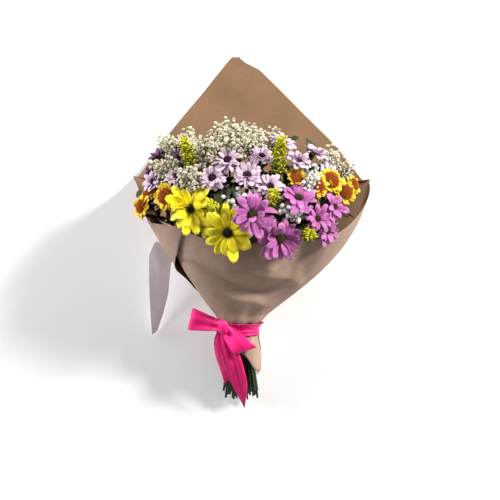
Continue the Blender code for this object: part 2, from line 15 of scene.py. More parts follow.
import bmesh
import bpy
import numpy as np
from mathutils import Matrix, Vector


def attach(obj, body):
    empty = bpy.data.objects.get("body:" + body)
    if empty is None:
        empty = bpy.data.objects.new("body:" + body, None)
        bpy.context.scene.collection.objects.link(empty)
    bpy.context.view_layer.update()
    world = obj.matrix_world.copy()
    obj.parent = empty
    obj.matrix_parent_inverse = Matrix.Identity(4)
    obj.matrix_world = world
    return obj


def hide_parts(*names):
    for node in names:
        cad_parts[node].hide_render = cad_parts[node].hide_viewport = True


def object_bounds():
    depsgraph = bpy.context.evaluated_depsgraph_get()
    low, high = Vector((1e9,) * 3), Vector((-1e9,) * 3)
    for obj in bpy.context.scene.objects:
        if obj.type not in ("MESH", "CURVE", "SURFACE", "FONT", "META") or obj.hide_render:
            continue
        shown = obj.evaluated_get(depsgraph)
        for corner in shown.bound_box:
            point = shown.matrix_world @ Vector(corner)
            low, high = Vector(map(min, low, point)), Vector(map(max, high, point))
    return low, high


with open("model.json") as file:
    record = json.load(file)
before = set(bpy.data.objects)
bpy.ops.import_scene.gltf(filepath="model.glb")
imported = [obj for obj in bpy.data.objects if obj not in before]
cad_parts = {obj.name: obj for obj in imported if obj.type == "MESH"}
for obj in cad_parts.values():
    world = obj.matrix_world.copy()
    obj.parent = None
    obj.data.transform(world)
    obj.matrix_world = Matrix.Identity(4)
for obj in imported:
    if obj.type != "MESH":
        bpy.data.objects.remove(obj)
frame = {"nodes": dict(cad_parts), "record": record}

CAD_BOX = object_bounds()
LOG = logging.getLogger("bouquet")
MM = 0.001
TIE_TO_REST = 0.300
TIE_FLOOR = np.array(frame["record"]["mounts"][0]["pos_m"], float) - (0.0, TIE_TO_REST, 0.0)
TIE_HEIGHT = 65.0
GOLDEN = math.pi * (3 - math.sqrt(5))

NECK_LEAN = math.radians(20)
TWIG_POINTS = 6

Points = np.ndarray
Colour = tuple[float, float, float]
Screen = tuple[int, int, int]
Socket = bpy.types.NodeSocket


# ---------------------------------------------------------------- small sums


def metres(points: Points) -> Points:
    """Millimetres from below the tie as metres in the frame."""
    return np.asarray(points, float) * MM + TIE_FLOOR


def millimetres(points: Points) -> Points:
    """Metres in the frame as millimetres from below the tie."""
    return (np.asarray(points, float) - TIE_FLOOR) / MM


def unit(vector: Sequence[float]) -> Points:
    """The vector at length one."""
    vector = np.asarray(vector, float)
    return vector / max(float(np.linalg.norm(vector)), 1e-9)


def smooth(low: float, high: float, value: float | Points) -> float | Points:
    """A step from 0 to 1 with rounded ends."""
    t = np.clip((np.asarray(value, float) - low) / (high - low), 0.0, 1.0)
    return t * t * (3 - 2 * t)


def axes_of(along: Sequence[float], up: Sequence[float]) -> Points:
    """Three square directions as columns: across, along and up.

    Args:
        along: The direction kept as it is.
        up: The direction that the third one is nearest to.

    Returns:
        A 3 by 3 matrix.
    """
    along = unit(along)
    across = np.cross(along, up)
    if np.linalg.norm(across) < 1e-4:
        across = np.cross(along, (0.31, 0.87, 0.38))
    across = unit(across)
    return np.column_stack((across, along, np.cross(across, along)))


def curve_through(points: Sequence[Sequence[float]], count: int) -> Points:
    """Evenly numbered points of a smooth curve through the given ones.

    Args:
        points: The points that the curve passes.
        count: How many points to return.

    Returns:
        An array with a row for each point.
    """
    known = np.asarray(points, float)
    known = np.vstack((2 * known[0] - known[1], known, 2 * known[-1] - known[-2]))
    found = []
    for place in np.linspace(0, len(known) - 3 - 1e-9, count):
        k = int(place)
        t = place - k
        a, b, c, d = known[k : k + 4]
        found.append(
            0.5
            * (
                2 * b
                + (c - a) * t
                + (2 * a - 5 * b + 4 * c - d) * t**2
                + (3 * b - 3 * c + d - a) * t**3
            )
        )
    return np.array(found)


def spoke(axes: Points, angle: float) -> Points:
    """The direction at an angle round the second of three axes."""
    return axes[:, 0] * math.cos(angle) + axes[:, 2] * math.sin(angle)


def linear(colour: Screen) -> tuple[float, ...]:
    """A colour given as it looks on a screen, 0 to 255, as the linear one that shaders take."""
    shares = [value / 255 for value in colour]
    return (*(c / 12.92 if c <= 10 / 255 else ((c + 0.055) / 1.055) ** 2.4 for c in shares), 1.0)


# ---------------------------------------------------------------- node graphs


class Graph:
    """A node tree with short ways to add nodes and link them."""

    def __init__(self, tree: bpy.types.NodeTree) -> None:
        """Takes the tree that nodes are added to."""
        self.tree = tree

    def node(self, kind: str, inputs: dict | None = None, **settings: object) -> bpy.types.Node:
        """Adds a node.

        Args:
            kind: The node type without its ShaderNode prefix.
            inputs: Values or sockets by input name or number.
            settings: Properties of the node.

        Returns:
            The new node.
        """
        made = self.tree.nodes.new(kind if kind.startswith("Node") else "ShaderNode" + kind)
        for name, value in settings.items():
            setattr(made, name, value)
        for name, value in (inputs or {}).items():
            if isinstance(value, Socket):
                self.tree.links.new(value, made.inputs[name])
            else:
                made.inputs[name].default_value = value
        return made

    def math(self, operation: str, *values: float | Socket) -> Socket:
        """The result of a Math node on the values."""
        return self.node("Math", dict(enumerate(values)), operation=operation).outputs[0]

    def mix(
        self, share: float | Socket, first: object, second: object, blend: str = "MIX"
    ) -> Socket:
        """The mix of two colours."""
        made = self.node(
            "Mix", {0: share, 6: first, 7: second}, data_type="RGBA", blend_type=blend
        )
        return made.outputs[2]

    def range(
        self, value: Socket, low: float, high: float, to_low: float = 0.0, to_high: float = 1.0
    ) -> Socket:
        """The value carried from one range to another, with rounded ends."""
        names = {
            "Value": value, "From Min": low, "From Max": high, "To Min": to_low, "To Max": to_high
        }
        return self.node("MapRange", names, interpolation_type="SMOOTHSTEP").outputs["Result"]

    def times(self, value: Socket, factor: float | Socket) -> Socket:
        """The value multiplied."""
        return self.math("MULTIPLY", value, factor)

    def noise(self, place: Socket, scale: float | Socket, **more: float) -> Socket:
        """How strong a noise is at a place."""
        return self.node("TexNoise", {"Vector": place, "Scale": scale, **more}).outputs["Fac"]

    def stretched(self, place: Socket, scale: tuple[float, ...], turn: float = 0.0) -> Socket:
        """A place stretched and turned."""
        inputs = {"Vector": place, "Scale": scale, "Rotation": (0.0, 0.0, turn)}
        return self.node("Mapping", inputs).outputs[0]

    def shaded(self, colour: Socket, level: Socket) -> Socket:
        """The colour made darker or lighter by a level."""
        grey = self.node("CombineColor", {0: level, 1: level, 2: level}).outputs[0]
        return self.mix(1.0, colour, grey, "MULTIPLY")

    def close(self, **outputs: Socket) -> bpy.types.NodeTree:
        """Gives a group its outputs and returns its tree."""
        self.node("NodeGroupOutput", outputs)
        return self.tree


def new_group(name: str, inputs: dict[str, str], *more: str) -> tuple[Graph, list[Socket]]:
    """A shader node group that gives a colour and a height.

    Args:
        name: Its name.
        inputs: Kind of socket by input name: Color, Float or Vector.
        more: Further numbers that it gives.

    Returns:
        Its graph and its inputs in order.
    """
    tree = bpy.data.node_groups.new(name, "ShaderNodeTree")
    outputs = {"Color": "Color", "Height": "Float", **dict.fromkeys(more, "Float")}
    for names, side in ((inputs, "INPUT"), (outputs, "OUTPUT")):
        for label, kind in names.items():
            tree.interface.new_socket(name=label, in_out=side, socket_type="NodeSocket" + kind)
    graph = Graph(tree)
    given = graph.node("NodeGroupInput")
    return graph, [given.outputs[label] for label in inputs]


def petal_group() -> bpy.types.NodeTree:
    """Colour along a petal from its root to its tip, with fine grooves and their height."""
    kinds = {"Place": "Vector", "Tone": "Float", "Root": "Color", "Body": "Color"}
    graph, (place, tone, root, middle, tip, streaks) = new_group(
        "petal colours", {**kinds, "Tip": "Color", "Streaks": "Float"}
    )
    across, along, _ = graph.node("SeparateXYZ", {0: place}).outputs
    spread = {0: graph.times(across, 9.0), 1: graph.times(along, 1.1), 2: graph.times(tone, 37.0)}
    where = graph.node("CombineXYZ", spread).outputs[0]
    streak = graph.range(graph.noise(where, 1.0, Detail=3.0, Roughness=0.6), 0.34, 0.66)
    groove = graph.math("ABSOLUTE", graph.math("SINE", graph.times(across, math.pi * 3)))
    lines = graph.math("ADD", graph.times(streak, 0.6), graph.times(groove, 0.4))
    body = graph.mix(graph.range(along, 0.04, 0.34), root, middle)
    body = graph.mix(graph.range(along, 0.62, 1.0), body, tip)
    between = graph.times(graph.math("SUBTRACT", 1.0, lines), streaks)
    shade = graph.math("SUBTRACT", 1.12, between)
    level = graph.times(shade, graph.math("ADD", 0.84, graph.times(tone, 0.26)))
    return graph.close(Color=graph.shaded(body, level), Height=lines)


def mottle_group() -> bpy.types.NodeTree:
    """A light and a dark colour mottled together, each copy a little different, and a height."""
    kinds = {"Place": "Vector", "Tone": "Float", "Light": "Color", "Dark": "Color"}
    graph, (place, tone, light, dark, grain) = new_group(
        "soft mottle", {**kinds, "Grain": "Float"}
    )
    noise = graph.noise(place, grain, Detail=4.0, Roughness=0.65)
    share = graph.times(graph.math("ADD", graph.range(noise, 0.32, 0.68), tone), 0.5)
    return graph.close(Color=graph.mix(share, dark, light), Height=noise)


def paper_group() -> bpy.types.NodeTree:
    """Kraft paper: fibres along the sheet, cloudy patches, and an outer side of its own colour."""
    kinds = {"Place": "Vector", "Outside": "Float", "Inner": "Color", "Outer": "Color"}
    graph, (place, outside, inner, outer, strand) = new_group(
        "kraft paper", {**kinds, "Fibre": "Color"}
    )
    run = graph.stretched(place, (110.0, 290.0, 200.0), 0.06)
    fibre = graph.noise(run, 1.0, Detail=5.0, Roughness=0.7, Distortion=0.4)
    cloud = graph.noise(place, 14.0, Detail=4.0, Roughness=0.6)
    speck = graph.noise(place, 480.0, Detail=2.0)
    base = graph.mix(outside, inner, outer)
    base = graph.mix(graph.range(fibre, 0.46, 0.74, 0.0, 0.26), base, strand)
    base = graph.mix(graph.range(speck, 0.62, 0.80, 0.0, 0.35), base, strand)
    height = graph.math("ADD", graph.times(fibre, 0.5), graph.times(cloud, 0.9))
    level = graph.range(cloud, 0.30, 0.70, 0.88, 1.08)
    return graph.close(Color=graph.shaded(base, level), Height=height)


def satin_group() -> bpy.types.NodeTree:
    """Satin: a fine weave, a slow change of depth, and how rough the sheen is."""
    kinds = {"Place": "Vector", "Bright": "Color", "Deep": "Color"}
    graph, (place, bright, deep) = new_group("satin weave", kinds, "Roughness")
    weave = graph.noise(graph.stretched(place, (6.0, 90.0, 1.0)), 1.0, Detail=2.0)
    depth = graph.noise(graph.stretched(place, (2.2, 1.4, 1.0)), 1.0, Detail=3.0)
    slow, fine = graph.range(depth, 0.30, 0.66, 0.0, 0.75), graph.range(weave, 0.3, 0.7, 0.0, 0.25)
    colour = graph.mix(graph.math("ADD", slow, fine), deep, bright)
    rough = graph.range(depth, 0.2, 0.8, 0.36, 0.52)
    return graph.close(Color=colour, Height=weave, Roughness=rough)


class Groups:
    """The shader node groups, each made once."""

    made: dict[str, bpy.types.NodeTree] = {}

    @classmethod
    def get(cls, maker: Callable[[], bpy.types.NodeTree]) -> bpy.types.NodeTree:
        """The group that the maker makes."""
        if maker.__name__ not in cls.made:
            cls.made[maker.__name__] = maker()
        return cls.made[maker.__name__]


# ---------------------------------------------------------------- finishes


@dataclass(frozen=True)
class Finish:
    """What every finish has: a name and how rough it is."""

    name: str
    roughness: float

    def start(self) -> tuple[bpy.types.Material, Graph, bpy.types.Node]:
        """A material with a bare shader, its graph and the shader."""
        made = bpy.data.materials.new(self.name)
        made.use_nodes = True
        shader = made.node_tree.nodes["Principled BSDF"]
        shader.inputs["Roughness"].default_value = self.roughness
        shader.inputs["Specular IOR Level"].default_value = 0.3
        return made, Graph(made.node_tree), shader

    def effect(
        self, graph: Graph, maker: Callable[[], bpy.types.NodeTree], inputs: dict
    ) -> bpy.types.Node:
        """A node that holds one of the shared groups."""
        return graph.node("Group", inputs, node_tree=Groups.get(maker))

    def wear(
        self, graph: Graph, shader: bpy.types.Node, effect: bpy.types.Node, strength: float,
        depth: float,
    ) -> None:
        """Links an effect's colour and height to the shader."""
        graph.tree.links.new(effect.outputs["Color"], shader.inputs["Base Color"])
        bump = graph.node(
            "Bump", {"Height": effect.outputs["Height"], "Strength": strength, "Distance": depth}
        )
        graph.tree.links.new(bump.outputs[0], shader.inputs["Normal"])

    def tone(self, graph: Graph) -> Socket:
        """The number between 0 and 1 that each copy in a piece carries."""
        return graph.node("Attribute", attribute_name="tone").outputs["Fac"]

    def material(self) -> bpy.types.Material:
        """The finished material."""
        raise NotImplementedError


@dataclass(frozen=True)
class PetalFinish(Finish):
    """A petal: three colours from its root to its tip, and how strong its streaks are."""

    root: Screen
    body: Screen
    tip: Screen
    streaks: float

    def material(self) -> bpy.types.Material:
        """The finished material."""
        made, graph, shader = self.start()
        place = graph.node("UVMap", uv_map="place").outputs[0]
        colours = {
            "Root": linear(self.root),
            "Body": linear(self.body),
            "Tip": linear(self.tip),
            "Streaks": self.streaks,
        }
        effect = self.effect(
            graph, petal_group, {"Place": place, "Tone": self.tone(graph), **colours}
        )
        self.wear(graph, shader, effect, 0.35, 0.0006)
        shader.inputs["Sheen Weight"].default_value = 0.12
        return made


@dataclass(frozen=True)
class MottledFinish(Finish):
    """A leaf, stem, bud or floret: a light and a dark colour, and how fine the mottle is."""

    light: Screen
    dark: Screen
    grain: float
    bump: float = 0.4

    def material(self) -> bpy.types.Material:
        """The finished material."""
        made, graph, shader = self.start()
        place = graph.node("TexCoord").outputs["Object"]
        colours = {"Light": linear(self.light), "Dark": linear(self.dark), "Grain": self.grain}
        effect = self.effect(
            graph, mottle_group, {"Place": place, "Tone": self.tone(graph), **colours}
        )
        self.wear(graph, shader, effect, self.bump, 0.001)
        return made


@dataclass(frozen=True)
class PaperFinish(Finish):
    """Paper: the colour of its inner and outer side and of its fibres."""

    inner: Screen
    outer: Screen
    fibre: Screen
    bump: float = 0.3

    def material(self) -> bpy.types.Material:
        """The finished material."""
        made, graph, shader = self.start()
        place = graph.node("TexCoord").outputs["Object"]
        side = graph.node("Attribute", attribute_name="outside").outputs["Fac"]
        colours = {
            "Inner": linear(self.inner), "Outer": linear(self.outer), "Fibre": linear(self.fibre)
        }
        effect = self.effect(graph, paper_group, {"Place": place, "Outside": side, **colours})
        self.wear(graph, shader, effect, self.bump, 0.0012)
        return made


@dataclass(frozen=True)
class SatinFinish(Finish):
    """Satin ribbon: a bright and a deep colour."""

    bright: Screen
    deep: Screen

    def material(self) -> bpy.types.Material:
        """The finished material."""
        made, graph, shader = self.start()
        place = graph.node("UVMap", uv_map="place").outputs[0]
        effect = self.effect(
            graph,
            satin_group,
            {"Place": place, "Bright": linear(self.bright), "Deep": linear(self.deep)},
        )
        self.wear(graph, shader, effect, 0.08, 0.0004)
        graph.tree.links.new(effect.outputs["Roughness"], shader.inputs["Roughness"])
        shader.inputs["Anisotropic"].default_value = 0.4
        return made


class Paint(Enum):
    """Every finish of the bouquet, with colours as they look on a screen."""

    YELLOW_PETAL = PetalFinish(
        "yellow petal", 0.55, (220, 196, 8), (244, 226, 12), (250, 240, 60), 0.26
    )
    PINK_PETAL = PetalFinish(
        "pink petal", 0.55, (138, 54, 118), (190, 100, 170), (206, 132, 192), 0.52
    )
    LILAC_PETAL = PetalFinish(
        "lilac petal", 0.6, (176, 140, 168), (208, 180, 202), (222, 200, 214), 0.34
    )
    BRONZE_PETAL = PetalFinish(
        "bronze petal", 0.55, (214, 150, 20), (238, 196, 24), (240, 208, 40), 0.3
    )
    PLUM_PETAL = PetalFinish("plum petal", 0.6, (70, 36, 62), (104, 62, 98), (120, 80, 116), 0.36)
    DARK_EYE = MottledFinish("dark green eye", 0.8, (66, 64, 22), (18, 20, 8), 900.0)
    OLIVE_EYE = MottledFinish("olive eye", 0.8, (96, 84, 36), (38, 40, 20), 900.0)
    PURPLE_EYE = MottledFinish("purple eye", 0.8, (72, 26, 62), (40, 10, 38), 900.0)
    AMBER_EYE = MottledFinish("amber eye", 0.75, (196, 112, 22), (128, 58, 12), 500.0)
    FLORET = MottledFinish("cream floret", 0.75, (238, 232, 210), (136, 126, 92), 900.0)
    FLORET_WHITE = MottledFinish("white floret", 0.7, (250, 250, 246), (216, 216, 206), 700.0)
    GOLD_BUD = MottledFinish("golden bud", 0.7, (214, 206, 26), (150, 158, 30), 500.0)
    OLIVE_BUD = MottledFinish("olive bud", 0.75, (150, 156, 46), (92, 104, 30), 500.0)
    STEM = MottledFinish("dark stem", 0.6, (52, 70, 40), (24, 38, 24), 260.0)
    TWIG = MottledFinish("green twig", 0.7, (112, 120, 72), (70, 82, 44), 300.0)
    LEAF = MottledFinish("dark leaf", 0.62, (50, 60, 22), (16, 22, 8), 120.0)
    CUT = MottledFinish("cut end", 0.8, (120, 140, 80), (90, 104, 60), 500.0)
    KRAFT = PaperFinish("kraft paper", 0.82, (132, 102, 75), (172, 145, 128), (112, 84, 60))
    LINING = PaperFinish(
        "white lining paper", 0.7, (250, 246, 250), (250, 247, 252), (234, 226, 236), 0.15
    )
    SATIN = SatinFinish("pink satin", 0.42, (240, 36, 128), (206, 14, 98))

    def material(self) -> bpy.types.Material:
        """The material, made the first time that it is asked for."""
        return bpy.data.materials.get(self.value.name) or self.value.material()


# ---------------------------------------------------------------- moulds: shapes modelled once


@dataclass(frozen=True)
class Mould:
    """A shape modelled once and read back, to be copied into the pieces that repeat it."""

    points: Points
    faces: tuple[tuple[int, ...], ...]
    places: Points


def deselect() -> None:
    """Leaves the scene in object mode with nothing selected."""
    if bpy.context.mode != "OBJECT":
        bpy.ops.object.mode_set(mode="OBJECT")
    bpy.ops.object.select_all(action="DESELECT")


def pick(test: Callable[[float, float, float], bool]) -> int:
    """Selects the points of the mesh being edited that pass a test.

    Args:
        test: Takes a point's x, y and z.

    Returns:
        How many were selected.
    """
    mesh = bmesh.from_edit_mesh(bpy.context.edit_object.data)
    for face in mesh.faces:
        face.select_set(False)
    for edge in mesh.edges:
        edge.select_set(False)
    count = 0
    for vert in mesh.verts:
        chosen = bool(test(*vert.co))
        vert.select_set(chosen)
        count += chosen
    mesh.select_flush(True)
    bmesh.update_edit_mesh(bpy.context.edit_object.data)
    return count


def edit_points() -> None:
    """Goes into edit mode, where points are selected."""
    bpy.ops.object.mode_set(mode="EDIT")
    bpy.ops.mesh.select_mode(type="VERT")


def apply_modifier(obj: bpy.types.Object, kind: str, **settings: object) -> None:
    """Adds a modifier to the object and applies it."""
    modifier = obj.modifiers.new(kind.lower(), kind)
    for name, value in settings.items():
        setattr(modifier, name, value)
    bpy.context.view_layer.objects.active = obj
    bpy.ops.object.modifier_apply(modifier=modifier.name)


def lay_places(mesh: bpy.types.Mesh, places: Points) -> None:
    """Gives a mesh the UV map "place", from how far across and along it each point is."""
    while mesh.uv_layers:
        mesh.uv_layers.remove(mesh.uv_layers[0])
    corners = np.empty(len(mesh.loops), np.int32)
    mesh.loops.foreach_get("vertex_index", corners)
    layer = mesh.uv_layers.new(name="place")
    layer.data.foreach_set("uv", places[corners].ravel().astype(np.float32))


def set_numbers(mesh: bpy.types.Mesh, name: str, values: Points) -> None:
    """Gives each point of a mesh a number that its material can read."""
    made = mesh.attributes.new(name, "FLOAT", "POINT")
    made.data.foreach_set("value", np.asarray(values, np.float32))


def stand_for(obj: bpy.types.Object, node: str) -> None:
    """Hangs a piece under the root body and hides the CAD node that it stands for."""
    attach(obj, "root")
    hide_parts(node)


def take_mould(obj: bpy.types.Object, places: Points | None = None) -> Mould:
    """Reads an object as a mould and removes it.

    Args:
        obj: The modelled shape.
        places: For each point, how far across and along the shape it is.

    Returns:
        The mould.
    """
    mesh = obj.data
    points = np.array([vert.co[:] for vert in mesh.vertices])
    faces = tuple(tuple(face.vertices) for face in mesh.polygons)
    if places is None:
        low, high = points.min(axis=0), points.max(axis=0)
        places = ((points - low) / np.maximum(high - low, 1e-9))[:, [0, 2]]
    bpy.data.objects.remove(obj, do_unlink=True)
    bpy.data.meshes.remove(mesh)
    return Mould(points, faces, places)


@dataclass(frozen=True)
class BladeShape:
    """A petal or a leaf: half its width and its rise at each step, and how it is cupped."""

    widths: tuple[float, ...]
    rises: tuple[float, ...]
    cup: float
    notch: float = 0.0
    across: int = 4
    thickness: float = 0.012

    def mould(self) -> Mould:
        """Models the blade: one long, its root at the origin, along y with its face up."""
        steps = len(self.widths) - 1
        deselect()
        bpy.ops.mesh.primitive_grid_add(
            x_subdivisions=self.across, y_subdivisions=steps, size=1.0, location=(0, 0.5, 0)
        )
        obj = bpy.context.object
        bpy.ops.object.transform_apply(location=True, rotation=False, scale=False)
        places = np.array([(vert.co.x + 0.5, vert.co.y) for vert in obj.data.vertices])
        edit_points()
        for column in range(self.across + 1):
            x = column / self.across - 0.5
            if pick(lambda px, py, pz: abs(px - x) < 0.01):
                bpy.ops.transform.translate(value=(0, 0, self.cup * 4 * x * x))
        for row in range(steps + 1):
            y = row / steps
            if pick(lambda px, py, pz: abs(py - y) < 0.01):
                bpy.ops.transform.resize(
                    value=(2 * self.widths[row], 1, 2 * self.widths[row]),
                    center_override=(0, y, 0),
                )
                bpy.ops.transform.translate(value=(0, 0, self.rises[row]))
        if self.notch:
            for share in (0.0, 0.5):
                pick(
                    lambda px, py, pz: py > 0.99 and abs(abs(px) - share * self.widths[-1]) < 0.02
                )
                bpy.ops.transform.translate(
                    value=(0, -self.notch * (1.0 if share == 0 else 0.1), 0)
                )
            pick(lambda px, py, pz: py > 0.9 and abs(abs(px) - self.widths[-1]) < 0.01)
            bpy.ops.transform.translate(value=(0, -self.notch * 1.1, 0))
        bpy.ops.object.mode_set(mode="OBJECT")
        apply_modifier(obj, "SOLIDIFY", thickness=self.thickness, offset=0.0)
        return take_mould(obj, np.vstack((places, places)))


def ball_mould(subdivisions: int, ruffle: float, seed: int) -> Mould:
    """A ball with a ruffled surface, as of petals packed tight.

    Args:
        subdivisions: Of the icosphere that it starts as.
        ruffle: How far its points go in and out, as a share of its radius.
        seed: For which points go out.

    Returns:
        The mould, of radius one.
    """
    dice = random.Random(seed)
    deselect()
    bpy.ops.mesh.primitive_ico_sphere_add(
        subdivisions=subdivisions, radius=1.0, location=(0, 0, 0)
    )
    obj = bpy.context.object
    if ruffle:
        edit_points()
        chosen = {
            tuple(round(c, 3) for c in vert.co)
            for vert in obj.data.vertices
            if dice.random() < 0.5
        }
        pick(lambda *point: tuple(round(c, 3) for c in point) in chosen)
        bpy.ops.transform.resize(value=(1 - ruffle,) * 3, center_override=(0, 0, 0))
        bpy.ops.object.mode_set(mode="OBJECT")
    return take_mould(obj)


def tube_mould(sides: int, steps: int) -> Mould:
    """A capped tube of radius one along z, from 0 to 1, extruded from its foot step by step."""
    deselect()
    bpy.ops.mesh.primitive_circle_add(
        vertices=sides, radius=1.0, fill_type="NGON", location=(0, 0, 0)
    )
    obj = bpy.context.object
    edit_points()
    bpy.ops.mesh.select_all(action="SELECT")
    for _ in range(steps):
        bpy.ops.mesh.extrude_region_move(TRANSFORM_OT_translate={"value": (0, 0, 1 / steps)})
    bpy.ops.mesh.select_all(action="SELECT")
    bpy.ops.mesh.normals_make_consistent(inside=False)
    bpy.ops.object.mode_set(mode="OBJECT")
    return take_mould(obj)


class Moulds:
    """The moulds of the bouquet, modelled once."""

    def __init__(self) -> None:
        """Models them all."""
        self.long_petals = [
            BladeShape(
                (0.045, 0.085, 0.125, 0.150, 0.155, 0.130, 0.065), rises, cup, 0.045
            ).mould()
            for rises, cup in (
                ((0, 0.03, 0.05, 0.06, 0.05, 0.02, -0.03), 0.07),
                ((0, 0.02, 0.04, 0.07, 0.11, 0.15, 0.19), 0.09),
                ((0, 0.05, 0.08, 0.07, 0.02, -0.06, -0.17), 0.05),
                ((0, 0.04, 0.05, 0.03, 0.02, 0.05, 0.12), 0.10),
                ((0, 0.03, 0.05, 0.06, 0.05, 0.03, 0.00), -0.06),
            )
        ]
        self.broad_petals = [
            BladeShape((0.07, 0.16, 0.215, 0.235, 0.195, 0.10), rises, cup, 0.03).mould()
            for rises, cup in (
                ((0, 0.03, 0.05, 0.05, 0.03, -0.02), 0.06),
                ((0, 0.02, 0.04, 0.08, 0.11, 0.12), 0.08),
                ((0, 0.04, 0.06, 0.03, -0.03, -0.10), 0.04),
            )
        ]
        self.slim_petals = [
            BladeShape((0.05, 0.10, 0.125, 0.12, 0.085, 0.03), rises, cup, 0.0, 2).mould()
            for rises, cup in (
                ((0, 0.03, 0.05, 0.05, 0.03, -0.02), 0.08),
                ((0, 0.02, 0.05, 0.09, 0.13, 0.17), 0.1),
            )
        ]
        self.leaves = [
            BladeShape(
                (0.03, 0.16, 0.11, 0.25, 0.17, 0.27, 0.16, 0.17, 0.03), rises, 0.10, 0.0, 4, 0.010
            ).mould()
            for rises in (
                (0, 0.02, 0.04, 0.05, 0.04, 0.02, -0.02, -0.07, -0.14),
                (0, 0.01, 0.03, 0.06, 0.09, 0.10, 0.09, 0.06, 0.02),
            )
        ]
        self.florets = [ball_mould(2, 0.30, seed) for seed in (3, 8, 21)]
        self.bud = ball_mould(1, 0.0, 1)
        self.dome = ball_mould(3, 0.0, 1)
        self.stem = tube_mould(8, 16)
        self.twig = tube_mould(5, 5)


# ---------------------------------------------------------------- a piece gathered from copies


class Piece:
    """Copies of moulds gathered into one object."""

    def __init__(self) -> None:
        """Starts with nothing in it."""
        self.points: list[Points] = []
        self.places: list[Points] = []
        self.tones: list[Points] = []
        self.faces: list[tuple[int, ...]] = []
        self.paints: list[int] = []
        self.used: list[Paint] = []
        self.count = 0

    def add(self, mould: Mould, points: Points, paint: Paint, tone: float) -> None:
        """Adds a copy of a mould with its points already in place.

        Args:
            mould: Where its faces come from.
            points: Where its points go, in millimetres.
            paint: Its finish.
            tone: A number from 0 to 1 that its finish varies with.
        """
        if paint not in self.used:
            self.used.append(paint)
        start = self.count
        self.points.append(points)
        self.places.append(mould.places)
        self.tones.append(np.full(len(points), tone))
        self.faces.extend(tuple(k + start for k in face) for face in mould.faces)
        self.paints.extend([self.used.index(paint)] * len(mould.faces))
        self.count += len(points)

    def plant(
        self, mould: Mould, at: Points, axes: Points, size: Sequence[float], paint: Paint,
        tone: float,
    ) -> None:
        """Adds a copy turned and sized.

        Args:
            mould: The shape.
            at: Where its origin goes.
            axes: Its three directions, as columns.
            size: Its size along each of them.
            paint: Its finish.
            tone: A number from 0 to 1 that its finish varies with.
        """
        self.add(mould, (mould.points * np.asarray(size)) @ axes.T + at, paint, tone)

    def thread(
        self, mould: Mould, path: Points, radii: Sequence[float], paint: Paint, tone: float
    ) -> None:
        """Adds a tube along a path.

        Args:
            mould: A tube along z from 0 to 1.
            path: The points that it follows.
            radii: Its radius at the start and the end.
            paint: Its finish.
            tone: A number from 0 to 1 that its finish varies with.
        """
        path = np.asarray(path, float)
        place = np.clip(mould.points[:, 2], 0, 1) * (len(path) - 1)
        low = np.minimum(place.astype(int), len(path) - 2)
        share = (place - low)[:, None]
        middle = path[low] * (1 - share) + path[low + 1] * share
        run = np.gradient(path, axis=0)
        run /= np.maximum(np.linalg.norm(run, axis=1, keepdims=True), 1e-9)
        hint = np.array((1.0, 0.05, 0.02)) if abs(
            unit(path[-1] - path[0])[0]
        ) < 0.9 else np.array((0.0, 0.2, 1.0))
        side = np.cross(run, hint)
        side /= np.maximum(np.linalg.norm(side, axis=1, keepdims=True), 1e-9)
        other = np.cross(run, side)
        radius = (radii[0] + (radii[1] - radii[0]) * place / (len(path) - 1))[:, None]
        nearest = np.clip(np.round(place).astype(int), 0, len(path) - 1)
        points = middle + (
            side[nearest] * mould.points[:, [0]] + other[nearest] * mould.points[:, [1]]
        ) * radius
        self.add(mould, points, paint, tone)

    def finish(self, name: str, node: str) -> bpy.types.Object:
        """Makes the object, which stands for a CAD node.

        Args:
            name: The object's name.
            node: The CAD node that it stands for.

        Returns:
            The object.
        """
        mesh = bpy.data.meshes.new(name)
        mesh.from_pydata(metres(np.vstack(self.points)).tolist(), [], self.faces)
        for paint in self.used:
            mesh.materials.append(paint.material())
        mesh.polygons.foreach_set("material_index", self.paints)
        mesh.polygons.foreach_set("use_smooth", [True] * len(self.faces))
        lay_places(mesh, np.vstack(self.places))
        set_numbers(mesh, "tone", np.concatenate(self.tones))
        mesh.update()
        obj = bpy.data.objects.new(name, mesh)
        bpy.context.scene.collection.objects.link(obj)
        stand_for(obj, node)
        LOG.info("%s: %d points, %d faces", name, self.count, len(self.faces))
        return obj


# ---------------------------------------------------------------- what the CAD says of a stem


@dataclass
class Head:
    """Where a flower head is, which way it faces and how wide it is."""

    middle: Points
    facing: Points
    radius: float


def node_triangles(name: str) -> Points:
    """The triangles of a CAD node, in millimetres."""
    mesh = bpy.data.objects[name].data
    mesh.calc_loop_triangles()
    points = np.array([vert.co[:] for vert in mesh.vertices])
    corners = np.array([triangle.vertices[:] for triangle in mesh.loop_triangles])
    return millimetres(points[corners])


def longest_edges(triangles: Points) -> Points:
    """The longest edge of each triangle."""
    return np.linalg.norm(triangles - np.roll(triangles, 1, axis=1), axis=2).max(axis=1)


def rings_along(points: Points, reach: float) -> Points:
    """Middles of the rings of a rod, from its foot upwards."""
    left = points[np.argsort(points[:, 1])]
    found = []
    while len(left):
        near = np.linalg.norm(left - left[0], axis=1) < reach
        found.append(
            left[near].mean(axis=0)
            if near.sum() < 3
            else np.unique(np.round(left[near], 2), axis=0).mean(axis=0)
        )
        left = left[~near]
    return np.array(found)


